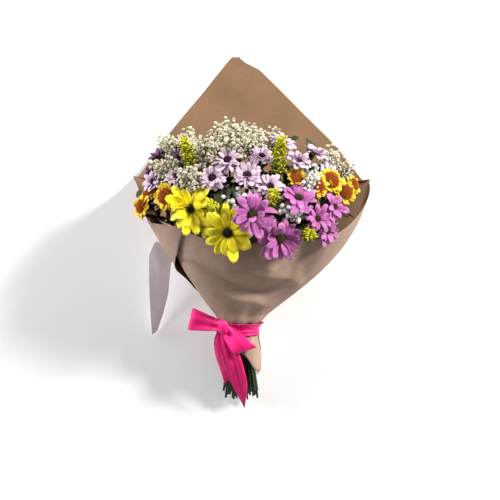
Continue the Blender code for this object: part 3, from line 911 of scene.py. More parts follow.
def read_flower(name: str, neck: float) -> tuple[Head, Points]:
    """The head and the stem of a CAD flower.

    Args:
        name: The CAD node.
        neck: How far below the head its stem bends.

    Returns:
        The head, and the middles of the stem's rings from its foot upwards.
    """
    triangles = node_triangles(name)
    foot = triangles.reshape(-1, 3)[triangles.reshape(-1, 3)[:, 1].argmin()]
    short = longest_edges(triangles) < 0.72 * neck
    middles = triangles.mean(axis=1)
    far = middles[short][np.linalg.norm(middles[short] - foot, axis=1).argmax()]
    chosen = short & (np.linalg.norm(middles - far, axis=1) < 62)
    points = np.unique(np.round(triangles[chosen].reshape(-1, 3), 2), axis=0)
    middle = points.mean(axis=0)
    for _ in range(4):
        normal = np.linalg.svd(points - middle, full_matrices=False)[2][2]
        flat = points - middle - np.outer((points - middle) @ normal, normal)
        reach = np.linalg.norm(flat, axis=1)
        points = points[reach > 0.55 * reach.max()]
        middle = points.mean(axis=0)
    radius = float(np.linalg.norm(points - middle, axis=1).max())
    others = triangles.reshape(-1, 3)
    others = others[np.linalg.norm(others - middle, axis=1) > max(0.55 * radius, 0.62 * neck)]
    rings = rings_along(others[np.abs((others - middle) @ normal) > 0.35 * radius], 6.0)
    rings = rings[rings[:, 1] < middle[1] + radius]
    below = rings[np.linalg.norm(rings - middle, axis=1).argmin()]
    if normal @ (middle - below) < 0:
        normal = -normal
    return Head(middle, normal, radius), rings


def read_puffs(name: str) -> tuple[Points, Points]:
    """The middles and radii of the round clusters of a CAD spray."""
    triangles = node_triangles(name)
    edges = np.linalg.norm(triangles - np.roll(triangles, 1, axis=1), axis=2)
    even = (
        edges.max(axis=1) < 1.35 * edges.min(axis=1)
    ) & (edges.max(axis=1) < 13) & (edges.min(axis=1) > 3)
    chosen, size = triangles[even], edges[even].mean(axis=1)
    normals = np.cross(chosen[:, 1] - chosen[:, 0], chosen[:, 2] - chosen[:, 0])
    normals /= np.linalg.norm(normals, axis=1, keepdims=True)
    votes = chosen.mean(axis=1) - normals * (0.7558 * size)[:, None]
    middles, radii = [], []
    while len(votes):
        near = np.linalg.norm(votes - votes[0], axis=1) < 2.0
        if near.sum() >= 4:
            middles.append(votes[near].mean(axis=0))
            radii.append(size[near].mean() * 0.951)
        votes, size = votes[~near], size[~near]
    return np.array(middles), np.array(radii)


def nodes_named(kind: str) -> list[str]:
    """The CAD nodes of one kind, in order."""
    found = [name for name in frame["nodes"] if name.rsplit("_", 1)[0] == kind]
    return sorted(found, key=lambda name: int(name.rsplit("_", 1)[1]))


# ---------------------------------------------------------------- the shape of the wrap


@dataclass(frozen=True)
class Wrap:
    """The cone of paper round the flowers, open above the tie and lying on its sole."""

    neck: float = 27.0
    peak: tuple[float, float] = (-13.0, 448.0)
    skirt: float = -38.0
    folds: float = 1.6
    flap_heights: tuple[float, ...] = (-38.0, 62, 80, 95, 120, 150, 156, 168, 228)
    flap_angles: tuple[float, ...] = (250, 263, 272, 288, 309, 322, 320, 297, 268)

    def half_width(self, y: float, side: float) -> float:
        """Half the width at a distance above the tie, to its left (-1) or right (+1)."""
        if y <= 0:
            return self.neck - 0.20 * y
        if side > 0:
            return self.neck + 190 * (1 - math.exp(-((y / 108) ** 1.4)))
        return self.neck + 300 * (
            1 - math.exp(-((y / 330) ** 1.12))
        ) - 9 * float(smooth(80, 160, y))

    def heights(self, y: float) -> tuple[float, float, float]:
        """Heights of the sole, of the widest part and of the crown."""
        if y <= 0:
            middle = TIE_HEIGHT + y * math.tan(NECK_LEAN)
            return middle - self.neck + 0.20 * y, middle, middle + self.neck - 0.20 * y
        middle = TIE_HEIGHT + 12 * (1 - math.exp(-y / 90))
        return max(
            TIE_HEIGHT - self.neck - 0.31 * y, 0.0
        ), middle, TIE_HEIGHT + self.neck + 0.76 * y

    def point(self, angle: float, y: float, inset: float = 0.0) -> Points:
        """A point of the wrap.

        Args:
            angle: In degrees: 0 at the crown, 90 at the right, 180 at the sole.
            y: The distance above the tie.
            inset: How far inside the outer sheet it lies.

        Returns:
            The point, in millimetres.
        """
        s, c = math.sin(math.radians(angle)), math.cos(math.radians(angle))
        sole, middle, crown = self.heights(y)
        square = float(smooth(0, 110, y))
        power = 2 + (0.7 if c > 0 else 2.4) * square
        reach = (abs(s) ** power + abs(c) ** power) ** (-1 / power)
        fold = self.folds * float(smooth(20, 120, y)) * math.sin(
            math.radians(5 * angle + 0.5 * y)
        ) * (0.5 + 0.5 * c)
        wide = self.half_width(y, s) + fold - inset
        tall = (crown - middle if c > 0 else middle - sole) + fold - inset
        return np.array((wide * reach * s, y, max(middle + tall * reach * c, 0.3 + inset)))

    def back_edge(self, x: float) -> float:
        """How far the back sheet reaches at a distance from its middle: a corner of the sheet."""
        reach = abs(x - self.peak[0])
        if x < self.peak[0]:
            return self.peak[1] - 1.22 * reach - 0.006 * max(0.0, reach - 104) ** 2
        return (
            self.peak[1] - 0.5 * min(reach, 45) - max(0.0, reach - 45)
            - 0.0055 * max(0.0, reach - 156) ** 2
        )

    def edge_angle(self, y: float, outermost: float) -> float:
        """Where the back sheet's upper edge is at this height, going from the sole outwards."""
        inner, outer = 180.0, outermost
        for _ in range(24):
            angle = (inner + outer) / 2
            inside = y < self.back_edge(self.point(angle, y)[0])
            inner, outer = (angle, outer) if inside else (inner, angle)
        return inner

    def back_left(self, y: float) -> float:
        """Left edge of the back sheet: up the neck, forward as a flap, then back to its peak."""
        if y < 228:
            return float(np.interp(y, self.flap_heights, self.flap_angles))
        return self.edge_angle(y, 268.0)

    def back_right(self, y: float) -> float:
        """Right edge of the back sheet: low on the right wall, then back to its peak."""
        return 96.0 if y < 236 else self.edge_angle(y, 96.0)

    def front_top(self, angle: float) -> float:
        """Top edge of the front sheet: low at the crown, rising to the corners."""
        s = abs(math.sin(math.radians(angle)))
        if angle < 0:
            return 133 + 46 * s**2
        return 133 + 100 * (0.22 * s**2 + 0.74 * s**9) + 14 * math.exp(-(((angle - 64) / 14) ** 2))

    def front_foot(self, angle: float) -> float:
        """Bottom edge of the front sheet: below the tie, with one long corner at the right."""
        return self.skirt - 34 * math.exp(-(((angle - 48) / 26) ** 2))

    def keep_inside(self, points: Points, gap: float = 0.92) -> Points:
        """Draws points that lie below the rim of the wrap in towards its middle.

        Args:
            points: In millimetres.
            gap: The share of the way to the wall that they may reach.

        Returns:
            The points, moved where they were outside.
        """
        moved = points.copy()
        for k, (x, y, z) in enumerate(points):
            if y > 235:
                continue
            sole, middle, crown = self.heights(float(y))
            wide = self.half_width(float(y), math.copysign(1.0, x))
            tall = crown - middle if z > middle else middle - sole
            reach = math.hypot(x / wide, (z - middle) / max(tall, 1.0))
            rim = 128 + 40 * (abs(x) / wide) ** 2
            if reach > gap and (y < rim or z < middle):
                moved[k] = (x * gap / reach, y, middle + (z - middle) * gap / reach)
        return moved


@dataclass(frozen=True)
class Crease:
    """A fold seen from above: where it runs, its lift, and how wide its two sides are."""

    start: tuple[float, float]
    end: tuple[float, float]
    lift: float
    left: float
    right: float

    def lifts(self, x: Points, y: Points) -> Points:
        """How far the sheet is lifted at each place."""
        run = np.subtract(self.end, self.start)
        length = float(np.linalg.norm(run))
        run = run / length
        dx, dy = x - self.start[0], y - self.start[1]
        along = (dx * run[0] + dy * run[1]) / length
        off = run[0] * dy - run[1] * dx
        width = np.where(off > 0, self.left, self.right)
        near = np.clip(1 - np.abs(off) / width, 0, 1)
        near = near**1.25
        return self.lift * near * smooth(-0.12, 0.22, along) * (1 - smooth(0.80, 1.06, along))


def sheet_normals(grid: Points) -> Points:
    """Directions out of a sheet at each point of its grid."""
    normals = np.cross(np.gradient(grid, axis=1), np.gradient(grid, axis=0))
    return normals / np.maximum(np.linalg.norm(normals, axis=2, keepdims=True), 1e-9)


def outwards(grid: Points, wrap: Wrap) -> Points:
    """The sheet's directions, turned away from the middle of the wrap."""
    normals = sheet_normals(grid)
    middles = np.array(
        [[(0.0, y, wrap.heights(float(y))[1]) for y in row] for row in grid[:, :, 1]]
    )
    sign = np.sign(np.sum(normals * (grid - middles), axis=2, keepdims=True))
    return normals * np.where(sign == 0, 1, sign)


def ruled(grid: Sequence[Sequence[Sequence[float]]], rows: int, columns: int) -> Points:
    """A sheet through a coarse grid of points, straight from one to the next."""
    known = np.asarray(grid, float)
    steps = np.linspace(0, known.shape[0] - 1, rows)
    known = np.stack(
        [
            [np.interp(steps, range(len(known)), known[:, c, k]) for c in range(known.shape[1])]
            for k in range(3)
        ]
    )
    steps = np.linspace(0, known.shape[1] - 1, columns)
    return np.stack(
        [
            [np.interp(steps, range(known.shape[1]), known[k, :, row]) for row in range(rows)]
            for k in range(3)
        ],
        axis=2,
    )


def sheet_from(
    name: str,
    grid: Points,
    thickness: float,
    paint: Paint,
    outer: Points,
    scale: tuple[float, float] = (1.0, 1.0),
) -> bpy.types.Object:
    """A thin sheet: a flat grid laid through points and given thickness.

    Args:
        name: The object's name.
        grid: Rows of points, in millimetres.
        thickness: In millimetres.
        paint: Its finish.
        outer: The direction of its outer side at each point.
        scale: The size of its pattern across and along.

    Returns:
        The object.
    """
    rows, columns = grid.shape[:2]
    deselect()
    bpy.ops.mesh.primitive_grid_add(
        x_subdivisions=columns - 1, y_subdivisions=rows - 1, size=1.0, location=(0, 0, 0)
    )
    obj = bpy.context.object
    obj.name = obj.data.name = name
    places = np.array([(vert.co.x + 0.5, vert.co.y + 0.5) for vert in obj.data.vertices]) * scale
    obj.data.vertices.foreach_set("co", metres(grid).ravel().astype(np.float32))
    obj.data.update()
    apply_modifier(obj, "SOLIDIFY", thickness=thickness * MM, offset=0.0)
    mesh = obj.data
    points = np.array([vert.co[:] for vert in mesh.vertices])
    half = len(points) // 2
    first = np.sum((points[:half] - points[half:]) * outer.reshape(-1, 3), axis=1) > 0
    set_numbers(mesh, "outside", np.concatenate((first, ~first)))
    lay_places(mesh, np.vstack((places, places)))
    mesh.materials.append(paint.material())
    bpy.ops.object.shade_smooth()
    return obj


def sheet_area(obj: bpy.types.Object) -> float:
    """The area of one side of a thin sheet, in square metres."""
    return sum(face.area for face in obj.data.polygons) / 2


@dataclass(frozen=True)
class FoldLine:
    """A fold that runs across a sheet from left to right: where it is, and its lift."""

    across: tuple[float, ...]
    along: tuple[float, ...]
    lift: tuple[float, ...]

    def at(self, x: Points) -> tuple[Points, Points]:
        """Its distance above the tie and its lift at each place across."""
        return np.interp(x, self.across, self.along), np.interp(x, self.across, self.lift)


@dataclass(frozen=True)
class PaperSheets:
    """The three sheets of the wrap."""

    wrap: Wrap
    thickness: float = 0.4
    lining_thickness: float = 0.3
    back_flat: tuple[float, float] = (0.50, 0.50)
    front_flat: tuple[float, float] = (0.46, 0.34)
    lining_flat: tuple[float, float] = (0.06, 0.21)
    pleats_round: int = 11
    front_creases: tuple[Crease, ...] = (
        Crease((-72.0, 62.0), (-14.0, 14.0), 3.0, 12.0, 12.0),
        Crease((20.0, 118.0), (52.0, 96.0), 3.0, 12.0, 12.0),
    )
    upper_ridge: FoldLine = FoldLine(
        (-91, -60, -17, 39, 92), (117, 109, 98, 91, 81), (1.0, 5.0, 11.0, 11.5, 3.0)
    )
    upper_valley: FoldLine = FoldLine(
        (-91, -60, -26, 4, 36, 92), (112, 97, 79, 62, 55, 80), (0.4, -1.2, -3.6, -5.4, -4.4, 2.6)
    )
    lower_ridge: FoldLine = FoldLine(
        (-91, -60, -40, -11, 33, 60), (104, 84, 69, 53, 45, 48), (2.0, 4.2, 5.2, 4.4, 2.6, 0.3)
    )

    def declare(
        self, obj: bpy.types.Object, node: str,
    ) -> None:
        """Hangs a sheet under the root body and hides the CAD node that it stands for.

        Args:
            obj: The sheet.
            node: The CAD node.
        """
        stand_for(obj, node)

    def back(self) -> None:
        """The large kraft sheet behind the flowers, brought round their left side."""
        rows = np.concatenate(
            (
                np.arange(-38, 60, 4.0), np.arange(60, 145, 5.0), np.arange(145, 170, 1.8),
                np.arange(171, 228, 5.0), np.arange(228, 268, 2.6), np.arange(270, 444, 6.0),
                (444.0, 446.5),
            )
        )
        angles = np.array(
            [np.linspace(self.wrap.back_right(y), self.wrap.back_left(y), 120) for y in rows]
        )
        grid = np.array([[self.wrap.point(a, y) for a in row] for row, y in zip(angles, rows)])
        outer = outwards(grid, self.wrap)
        x, y, z = grid[:, :, 0], grid[:, :, 1], grid[:, :, 2]
        pleats = 1.2 * np.exp(-((y / 30) ** 2)) * np.sin(
            np.arctan2(x, z - TIE_HEIGHT) * self.pleats_round + 0.6
        )
        free = smooth(236, 330, y)
        waves = free * (
            1.6
            + 1.2 * np.sin(x / 27 + y / 61)
            + 1.0 * np.sin(x / 17 - y / 39 + 1.3)
            + 0.5 * np.sin(y / 12 + x / 31)
        )
        ridge = 10.0 * smooth(60, 140, y) * (1 - smooth(170, 215, y)) * np.clip(
            1 - np.abs(angles - 289) / 30, 0, 1
        )
        edges = angles[:, -1:]
        ear = np.interp(y, (58, 64, 98, 110), (0.0, 2.5, 3.6, 0.0)) * np.clip(
            (angles - edges + 10) / 10, 0, 1
        )
        grid = grid + outer * (0.6 * pleats + ridge + ear)[:, :, None]
        grid[:, :, 2] += np.maximum(waves, 0)
        grid[:, :, 2] = np.maximum(grid[:, :, 2], 0.35)
        obj = sheet_from("kraft_back", grid, self.thickness, Paint.KRAFT, outer)
        self.declare(obj, "kraft_back_sheet")

    def diagonal_folds(self, x: Points, y: Points) -> Points:
        """How far the front sheet is lifted by the folds that run down across it from the left."""
        lines = [line.at(x) for line in (self.lower_ridge, self.upper_valley, self.upper_ridge)]
        places = [np.full_like(x, 8.0)] + [place for place, _ in lines] + [lines[-1][0] + 46]
        lifts = [np.zeros_like(x)] + [height for _, height in lines] + [np.zeros_like(x)]
        found = np.zeros_like(x)
        for low, high, first, last in zip(places, places[1:], lifts, lifts[1:]):
            share = np.clip((y - low) / np.maximum(high - low, 0.5), 0, 1)
            found = np.where((y >= low) & (y <= high), first + (last - first) * share, found)
        return found * smooth(-100, -84, x) * (1 - smooth(84, 97, x))

    def front(self) -> None:
        """The smaller kraft sheet across the front, with its broad diagonal folds."""
        columns = []
        for angle in np.linspace(-104, 112, 132):
            foot, top = self.wrap.front_foot(angle), self.wrap.front_top(angle)
            steps = np.concatenate(
                (
                    np.linspace(foot, 0, 10)[:-1],
                    np.linspace(0, 30, 12)[:-1],
                    np.linspace(30, top, 44),
                )
            )
            columns.append(
                [
                    (angle, *self.wrap.point(angle, y, 1.5 + 2.8 * float(smooth(0, 110, y))))
                    for y in steps
                ]
            )
        full = np.array(columns).transpose(1, 0, 2)
        angle, grid = full[:, :, 0], full[:, :, 1:]
        outer = outwards(grid, self.wrap)
        x, y = grid[:, :, 0], grid[:, :, 1]
        lift = sum(crease.lifts(x, y) for crease in self.front_creases) + self.diagonal_folds(x, y)
        corner = np.interp(y, (10, 18, 48, 82, 138), (15, 22, 31, 45, 45))
        lift = lift + 9.0 * smooth(8, 60, y) * np.clip(
            1 - np.abs(angle - corner) / np.where(angle > corner, 40, 12), 0, 1
        )
        lift = lift + 1.3 * np.exp(-((y / 26) ** 2)) * np.sin(
            np.radians(angle) * self.pleats_round + 0.6
        )
        side = np.abs(angle)
        swell = 3.6 * np.exp(-(((y - 14) / 8) ** 2)) * (1 - smooth(50, 86, side))
        lift = lift * (1 - 0.85 * smooth(52, 84, side)) + swell
        grid = grid + outer * lift[:, :, None]
        obj = sheet_from("kraft_front", grid, self.thickness, Paint.KRAFT, outer)
        self.declare(obj, "kraft_front_sheet")

    def lining(self) -> None:
        """The white lining paper, whose corner hangs free at the left."""
        held = [
            [
                self.wrap.point(angle + 9 * k, y + 4 * k, -1.8 - 1.2 * float(smooth(10, 60, y)))
                for k in range(3)
            ]
            for angle, y in ((222, 12), (226, 38), (232, 68), (238, 96), (244, 118))
        ]
        free = (
            ((-110, 112, 46), (-124, 124, 58), (-134, 138, 74)),
            ((-114, 86, 42), (-130, 100, 52), (-147, 118, 60)),
            ((-118, 54, 28), (-132, 60, 34), (-149, 66, 40)),
            ((-128, 18, 14), (-137, 16, 17), (-149, 16, 20)),
            ((-139, -12, 4), (-143, -15, 5), (-148, -18, 6)),
        )
        grid = ruled(held + [list(row) for row in free], 70, 22)
        grid[:, :, 2] = np.maximum(grid[:, :, 2], 0.4)
        obj = sheet_from(
            "lining_paper", grid, self.lining_thickness, Paint.LINING, outwards(grid, self.wrap)
        )
        self.declare(obj, "white_lining_sheet")

    def build(self) -> None:
        """Builds the sheets in order."""
        self.back()
        self.front()
        self.lining()


# ---------------------------------------------------------------- the ribbon


@dataclass(frozen=True)
class Ribbon:
    """A satin ribbon round the neck of the wrap, tied in a bow with two loops and two tails."""

    width: float = 34.0
    length: float = 720.0
    thickness: float = 0.5
    neck: float = 29.4
    band_ends: tuple[float, float] = (-11.0, 8.0)
    knot_size: tuple[float, float, float] = (13.0, 17.0, 11.0)
    knot_place: tuple[float, float, float] = (-25.0, 4.0, 96.0)
    knot_turn: float = math.radians(-38)

    def strip(
        self, name: str, middles: Sequence, sides: Sequence, rows: int, pattern: float,
        ripple: float,
    ) -> bpy.types.Object:
        """A strip of ribbon.

        Args:
            name: The object's name.
            middles: Points along its middle.
            sides: Half its width at each of them, as a vector.
            rows: How many rows of points it gets.
            pattern: How long it is against its width.
            ripple: How far its gathers stand out at its start.

        Returns:
            The object.
        """
        middles, sides = curve_through(middles, rows), curve_through(sides, rows)
        across = np.linspace(-1, 1, 13)
        grid = middles[:, None] + sides[:, None] * across[None, :, None]
        normals = sheet_normals(grid)
        along = np.linspace(0, 1, rows)[:, None]
        wave = ripple * (1 - along) ** 1.5 * np.sin(across[None] * 6.5 + 2.0 * along)
        grid = grid + normals * wave[:, :, None]
        return sheet_from(name, grid, self.thickness, Paint.SATIN, normals, (1.0, pattern))

    def loop(
        self, name: str, start: Sequence, end: Sequence, start_side: Sequence, end_side: Sequence,
        plump: float,
    ) -> bpy.types.Object:
        """A loop of the bow: out from the knot, round a soft fold and back underneath."""
        start, end, start_side, end_side = (
            np.array(v, float) for v in (start, end, start_side, end_side)
        )
        grid = []
        across = np.linspace(-1, 1, 15)
        for t in np.linspace(-1, 1, 49):
            reach = math.sin((1 - abs(t)) * math.pi / 2)
            lift = plump * math.copysign(
                max(math.sin(min(abs(t) * 1.25, 1) * math.pi), 0) ** 0.8 + 0.12 * abs(t), -t
            )
            if abs(t) * 1.25 >= 1:
                lift = plump * math.copysign(0.12 * abs(t) + 0.10, -t)
            middle = start + (end - start) * reach + np.array((0, 0, lift))
            side = start_side + (end_side - start_side) * reach
            wave = 1.7 * (1 - reach) ** 0.7 * np.sin(
                across * 5.5 + (0.5 if t < 0 else 2.2)
            ) + 0.9 * reach * np.cos(across * 2.4)
            grid.append([middle + side * a + np.array((0, 0, w)) for a, w in zip(across, wave)])
        grid = np.array(grid)
        return sheet_from(name, grid, self.thickness, Paint.SATIN, sheet_normals(grid), (1.0, 4.0))

    def band(self) -> bpy.types.Object:
        """The turn of the ribbon round the neck, gathered in soft pleats."""
        grid = []
        for y in np.linspace(*self.band_ends, 15):
            ring = []
            for turn in np.linspace(0, 2 * math.pi, 97):
                reach = self.neck + 0.4 + 0.95 * max(y, 0) + 0.12 * max(-y, 0) + 0.7 * math.sin(
                    y * 1.1 + 0.5 * math.sin(3 * turn)
                )
                middle = TIE_HEIGHT + min(y, 0) * math.tan(NECK_LEAN) + 0.16 * max(y, 0)
                ring.append((reach * math.sin(turn), y, middle + reach * math.cos(turn)))
            grid.append(ring)
        grid = np.array(grid)
        return sheet_from(
            "band", grid, self.thickness, Paint.SATIN, -sheet_normals(grid), (9.0, 1.0)
        )

    def knot(self) -> bpy.types.Object:
        """The knot: a rounded block with the folds of the ribbon pulled tight over it."""
        deselect()
        bpy.ops.mesh.primitive_cube_add(size=1.0, location=(0, 0, 0))
        obj = bpy.context.object
        obj.name = obj.data.name = "knot"
        bpy.ops.object.mode_set(mode="EDIT")
        bpy.ops.mesh.select_all(action="SELECT")
        bpy.ops.mesh.subdivide(number_cuts=5, smoothness=0.6)
        bpy.ops.object.mode_set(mode="OBJECT")
        apply_modifier(obj, "SUBSURF", levels=1, render_levels=1)
        turn, size = self.knot_turn, self.knot_size
        for vert in obj.data.vertices:
            x, y, z = vert.co
            z += 0.07 * math.sin(x * 15 + y * 3) * max(z, 0)
            x, y, z = x * size[0], y * size[1], z * size[2]
            spun = (
                x * math.cos(turn) + z * math.sin(turn),
                y,
                -x * math.sin(turn) + z * math.cos(turn),
            )
            vert.co = metres(np.add(spun, self.knot_place))
        mesh = obj.data
        points = millimetres(np.array([vert.co[:] for vert in mesh.vertices]))
        lay_places(mesh, points[:, [0, 1]] / self.width)
        mesh.materials.append(Paint.SATIN.material())
        bpy.ops.object.shade_smooth()
        return obj

    def build(self) -> None:
        """Builds the ribbon as one piece."""
        parts = [
            self.band(),
            self.knot(),
            self.loop("loop_left", (-27, 5, 97), (-78, 15, 84), (1, 8, 0), (4, 17, 4), 9),
            self.loop("loop_right", (-23, 4, 98), (8, -34, 97), (9, 5, 2), (18, 6, 0), 7),
            self.strip(
                "tail_front",
                (
                    (-26, 2, 95), (-20, -22, 93), (-10, -56, 84), (-2, -86, 70), (2.5, -104, 61),
                    (5, -118, 54), (7, -133, 41),
                ),
                (
                    (8, 2, 1), (13, 2, 2), (14, 2, 3), (13, 1, 2), (8.5, 1, 2), (4.6, 0.5, 1),
                    (0.6, 0.1, 0),
                ),
                70, 5.0, 2.2,
            ),
            self.strip(
                "tail_back",
                ((-28, 2, 92), (-32, -18, 84), (-31, -42, 70), (-25, -66, 54), (-18, -88, 40)),
                ((5, 1, 3), (9, 1, 7), (9, 2, 8), (8, 3, 7), (7, 8, 4)),
                40, 4.0, 1.8,
            ),
        ]
        deselect()
        for part in parts:
            part.select_set(True)
        bpy.context.view_layer.objects.active = parts[0]
        bpy.ops.object.join()
        obj = parts[0]
        obj.name = obj.data.name = "satin_ribbon"
        stand_for(obj, "ribbon")
        area = sheet_area(obj)
        LOG.info("satin_ribbon: %d faces, %.4f m2", len(obj.data.polygons), area)


# ---------------------------------------------------------------- flowers


@dataclass(frozen=True)
class BloomStyle:
    """How one kind of flower is made.

    Its rings give a count of petals, their length and their pitch in degrees. Lengths are shares
    of the head's radius. The neck and the least radius are in millimetres.
    """

    kind: str
    neck: float
    petals: str
    rings: tuple[tuple[int, float, float], ...]
    width: float
    petal_paint: Paint
    eye_paint: Paint
    eye: float
    eye_rise: float
    eye_buds: int
    jitter: float
    leaves: int
    least: float = 0.0


BLOOMS = (
    BloomStyle(
        "yellow_daisy", 38, "long", ((13, 1.36, 4), (9, 1.12, 24)), 1.34,
        Paint.YELLOW_PETAL, Paint.DARK_EYE, 0.23, 0.18, 44, jitter=15, leaves=7,
    ),
    BloomStyle(
        "pink_daisy", 38, "long", ((13, 1.28, 3), (9, 1.04, 22)), 1.40,
        Paint.PINK_PETAL, Paint.OLIVE_EYE, 0.25, 0.18, 50, jitter=13, leaves=7, least=18.5,
    ),
    BloomStyle(
        "lilac_daisy", 30, "broad", ((14, 1.20, 4), (12, 1.00, 22)), 0.92,
        Paint.LILAC_PETAL, Paint.PURPLE_EYE, 0.31, 0.14, 40, jitter=12, leaves=7,
    ),
    BloomStyle(
        "bronze_button", 26, "long", ((17, 1.48, -4), (15, 1.34, 12)), 1.34,
        Paint.BRONZE_PETAL, Paint.AMBER_EYE, 0.86, 0.46, 120, jitter=10, leaves=7,
    ),
    BloomStyle(
        "plum_aster", 28, "slim", ((15, 1.14, 14), (12, 1.00, 38)), 1.60,
        Paint.PLUM_PETAL, Paint.PURPLE_EYE, 0.20, 0.2, 24, jitter=10, leaves=3,
    ),
)


class Flowers:
    """The flower heads on their stems."""

    def __init__(self, moulds: Moulds, wrap: Wrap) -> None:
        """Takes the shapes that the flowers are put together from."""
        self.moulds = moulds
        self.wrap = wrap
        self.petals = {
            "long": moulds.long_petals, "broad": moulds.broad_petals, "slim": moulds.slim_petals
        }
        self.heads = [
            read_flower(node, style.neck)[0]
            for style in BLOOMS
            for node in nodes_named(style.kind)
        ]

    def petal_rings(
        self, piece: Piece, style: BloomStyle, head: Head, dice: random.Random
    ) -> None:
        """Plants the petals round the eye, ring by ring."""
        base = axes_of(head.facing, (0.2, 1.0, 0.1))
        turn = dice.random() * math.tau
        for count, length, pitch in style.rings:
            turn += math.pi / count
            for k in range(count):
                angle = turn + math.tau * (k + dice.uniform(-0.22, 0.22)) / count
                radial = spoke(base, angle)
                wild = dice.random() < 0.16
                tilt = math.radians(
                    pitch
                    + dice.gauss(0, style.jitter * (1.5 if wild else 0.6))
                    + (14 if wild else 0)
                )
                along = radial * math.cos(tilt) + head.facing * math.sin(tilt)
                axes = axes_of(along, head.facing * math.cos(tilt) - radial * math.sin(tilt))
                roll = math.radians(dice.gauss(0, style.jitter * (2.6 if wild else 1.0)))
                side = spoke(axes, roll)
                axes = np.column_stack((side, axes[:, 1], np.cross(side, axes[:, 1])))
                size = head.radius * length * dice.uniform(0.80, 1.08)
                wide = size * style.width * dice.uniform(0.78, 1.12)
                inset = head.radius * style.eye * 0.55
                at = head.middle + radial * inset - head.facing * head.radius * 0.04
                mould = dice.choice(self.petals[style.petals])
                piece.plant(
                    mould, at, axes, (wide, size - inset, size), style.petal_paint, dice.random()
                )

    def eye(self, piece: Piece, style: BloomStyle, head: Head, dice: random.Random) -> None:
        """Plants the domed eye and the small buds that cover it."""
        side = unit(np.cross(head.facing, (0.3, 1.0, 0.2)))
        axes = np.column_stack((np.cross(side, head.facing), side, head.facing))
        wide, rise = head.radius * style.eye, head.radius * style.eye_rise
        piece.plant(
            self.moulds.dome,
            head.middle,
            axes,
            (wide * 0.93, wide * 0.93, rise),
            style.eye_paint,
            0.15,
        )
        for k in range(style.eye_buds):
            share = math.sqrt((k + 0.5) / style.eye_buds)
            angle = k * GOLDEN
            local = np.array(
                (
                    share * math.cos(angle),
                    share * math.sin(angle),
                    math.sqrt(max(1 - share**2, 0.0)),
                )
            )
            at = head.middle + axes @ (local * (wide, wide, rise * 1.05))
            out = axes @ unit(local * (0.6, 0.6, 1.0))
            size = wide * (0.9 / math.sqrt(style.eye_buds)) * dice.uniform(0.85, 1.3)
            piece.plant(
                self.moulds.bud,
                at,
                axes_of((axes @ unit((-local[1], local[0], 0.01))), out),
                (size, size, size * 1.9),
                style.eye_paint,
                dice.random(),
            )

    def twig(
        self, piece: Piece, points: Sequence, radii: tuple[float, float], paint: Paint, tone: float
    ) -> None:
        """Threads a thin twig through a few points."""
        piece.thread(self.moulds.twig, curve_through(points, TWIG_POINTS), radii, paint, tone)

    def stem(self, piece: Piece, path: Points, radius: float = 1.8) -> Points:
        """Threads the stem, with a pale cut face at its foot.

        Args:
            piece: What it is added to.
            path: Points that the stem passes, from its foot upwards.
            radius: Half its thickness.

        Returns:
            Points along the stem.
        """
        line = curve_through(path, 33)
        piece.thread(self.moulds.stem, line, (radius, radius * 0.8), Paint.STEM, 0.5)
        for k, side in ((3, 1.0), (5, -1.0)):
            if radius > 1.5 and abs(line[0][0]) > 14:
                reach = np.array((side * 3.5 + math.copysign(5.0, line[0][0]), -4.0, 3.0))
                self.twig(
                    piece,
                    (line[k], line[k] + reach * 0.5, line[k] + reach),
                    (0.8, 0.45),
                    Paint.STEM,
                    0.3,
                )
        axes = axes_of(unit(np.cross(line[1] - line[0], (1.0, 0.0, 0.1))), line[0] - line[1])
        piece.plant(
            self.moulds.bud, line[0], axes, (radius * 0.8, radius * 0.8, 0.5), Paint.CUT, 0.6
        )
        return line

    def leaves(
        self, piece: Piece, line: Points, count: int, dice: random.Random, near: float = 9.0
    ) -> None:
        """Plants leaves up the stem, below the head.

        Args:
            piece: What they are added to.
            line: Points along the stem.
            count: How many leaves.
            dice: For their turns and sizes.
            near: How far below the head the first one is.
        """
        run = np.concatenate(([0], np.cumsum(np.linalg.norm(np.diff(line, axis=0), axis=1))))
        turn = dice.random() * math.tau
        for k in range(count):
            place = run[-1] - near - 11.0 * k
            at = np.array([np.interp(place, run, line[:, axis]) for axis in range(3)])
            ahead = np.array([np.interp(place + 6, run, line[:, axis]) for axis in range(3)])
            stem_run = unit(ahead - at)
            base = axes_of(stem_run, (0.3, 0.1, 1.0))
            turn += GOLDEN
            radial = spoke(base, turn)
            lean = math.radians(dice.uniform(48, 80))
            along = stem_run * math.cos(lean) + radial * math.sin(lean)
            axes = axes_of(along, stem_run * math.sin(lean) - radial * math.cos(lean))
            size = dice.uniform(28, 44)
            mould = dice.choice(self.moulds.leaves)
            points = (mould.points * (size * 0.9, size, size)) @ axes.T + at + radial * 1.5
            piece.add(
                mould, self.wrap.keep_inside(self.below_heads(points)), Paint.LEAF, dice.random()
            )

    def below_heads(self, points: Points) -> Points:
        """Presses points down below the flower heads that they would cover.

        Args:
            points: In millimetres.

        Returns:
            The points, lowered where a head is over them.
        """
        lowered = points.copy()
        for head in self.heads:
            near = np.linalg.norm(points[:, :2] - head.middle[:2], axis=1) < 1.3 * head.radius
            lowered[near, 2] = np.minimum(lowered[near, 2], head.middle[2] - 9.0)
        return lowered

    def sepals(self, piece: Piece, head: Head, dice: random.Random) -> None:
        """Plants the green cup below the petals."""
        base = axes_of(head.facing, (0.2, 1.0, 0.1))
        low = head.middle - head.facing * head.radius * 0.22
        for k in range(9):
            angle = math.tau * k / 9
            radial = spoke(base, angle)
            axes = axes_of(unit(radial + 0.5 * head.facing), head.facing - 0.5 * radial)
            piece.plant(
                self.moulds.slim_petals[0],
                low,
                axes,
                (head.radius * 1.1, head.radius * 0.42, head.radius * 0.4),
                Paint.STEM,
                dice.random(),
            )

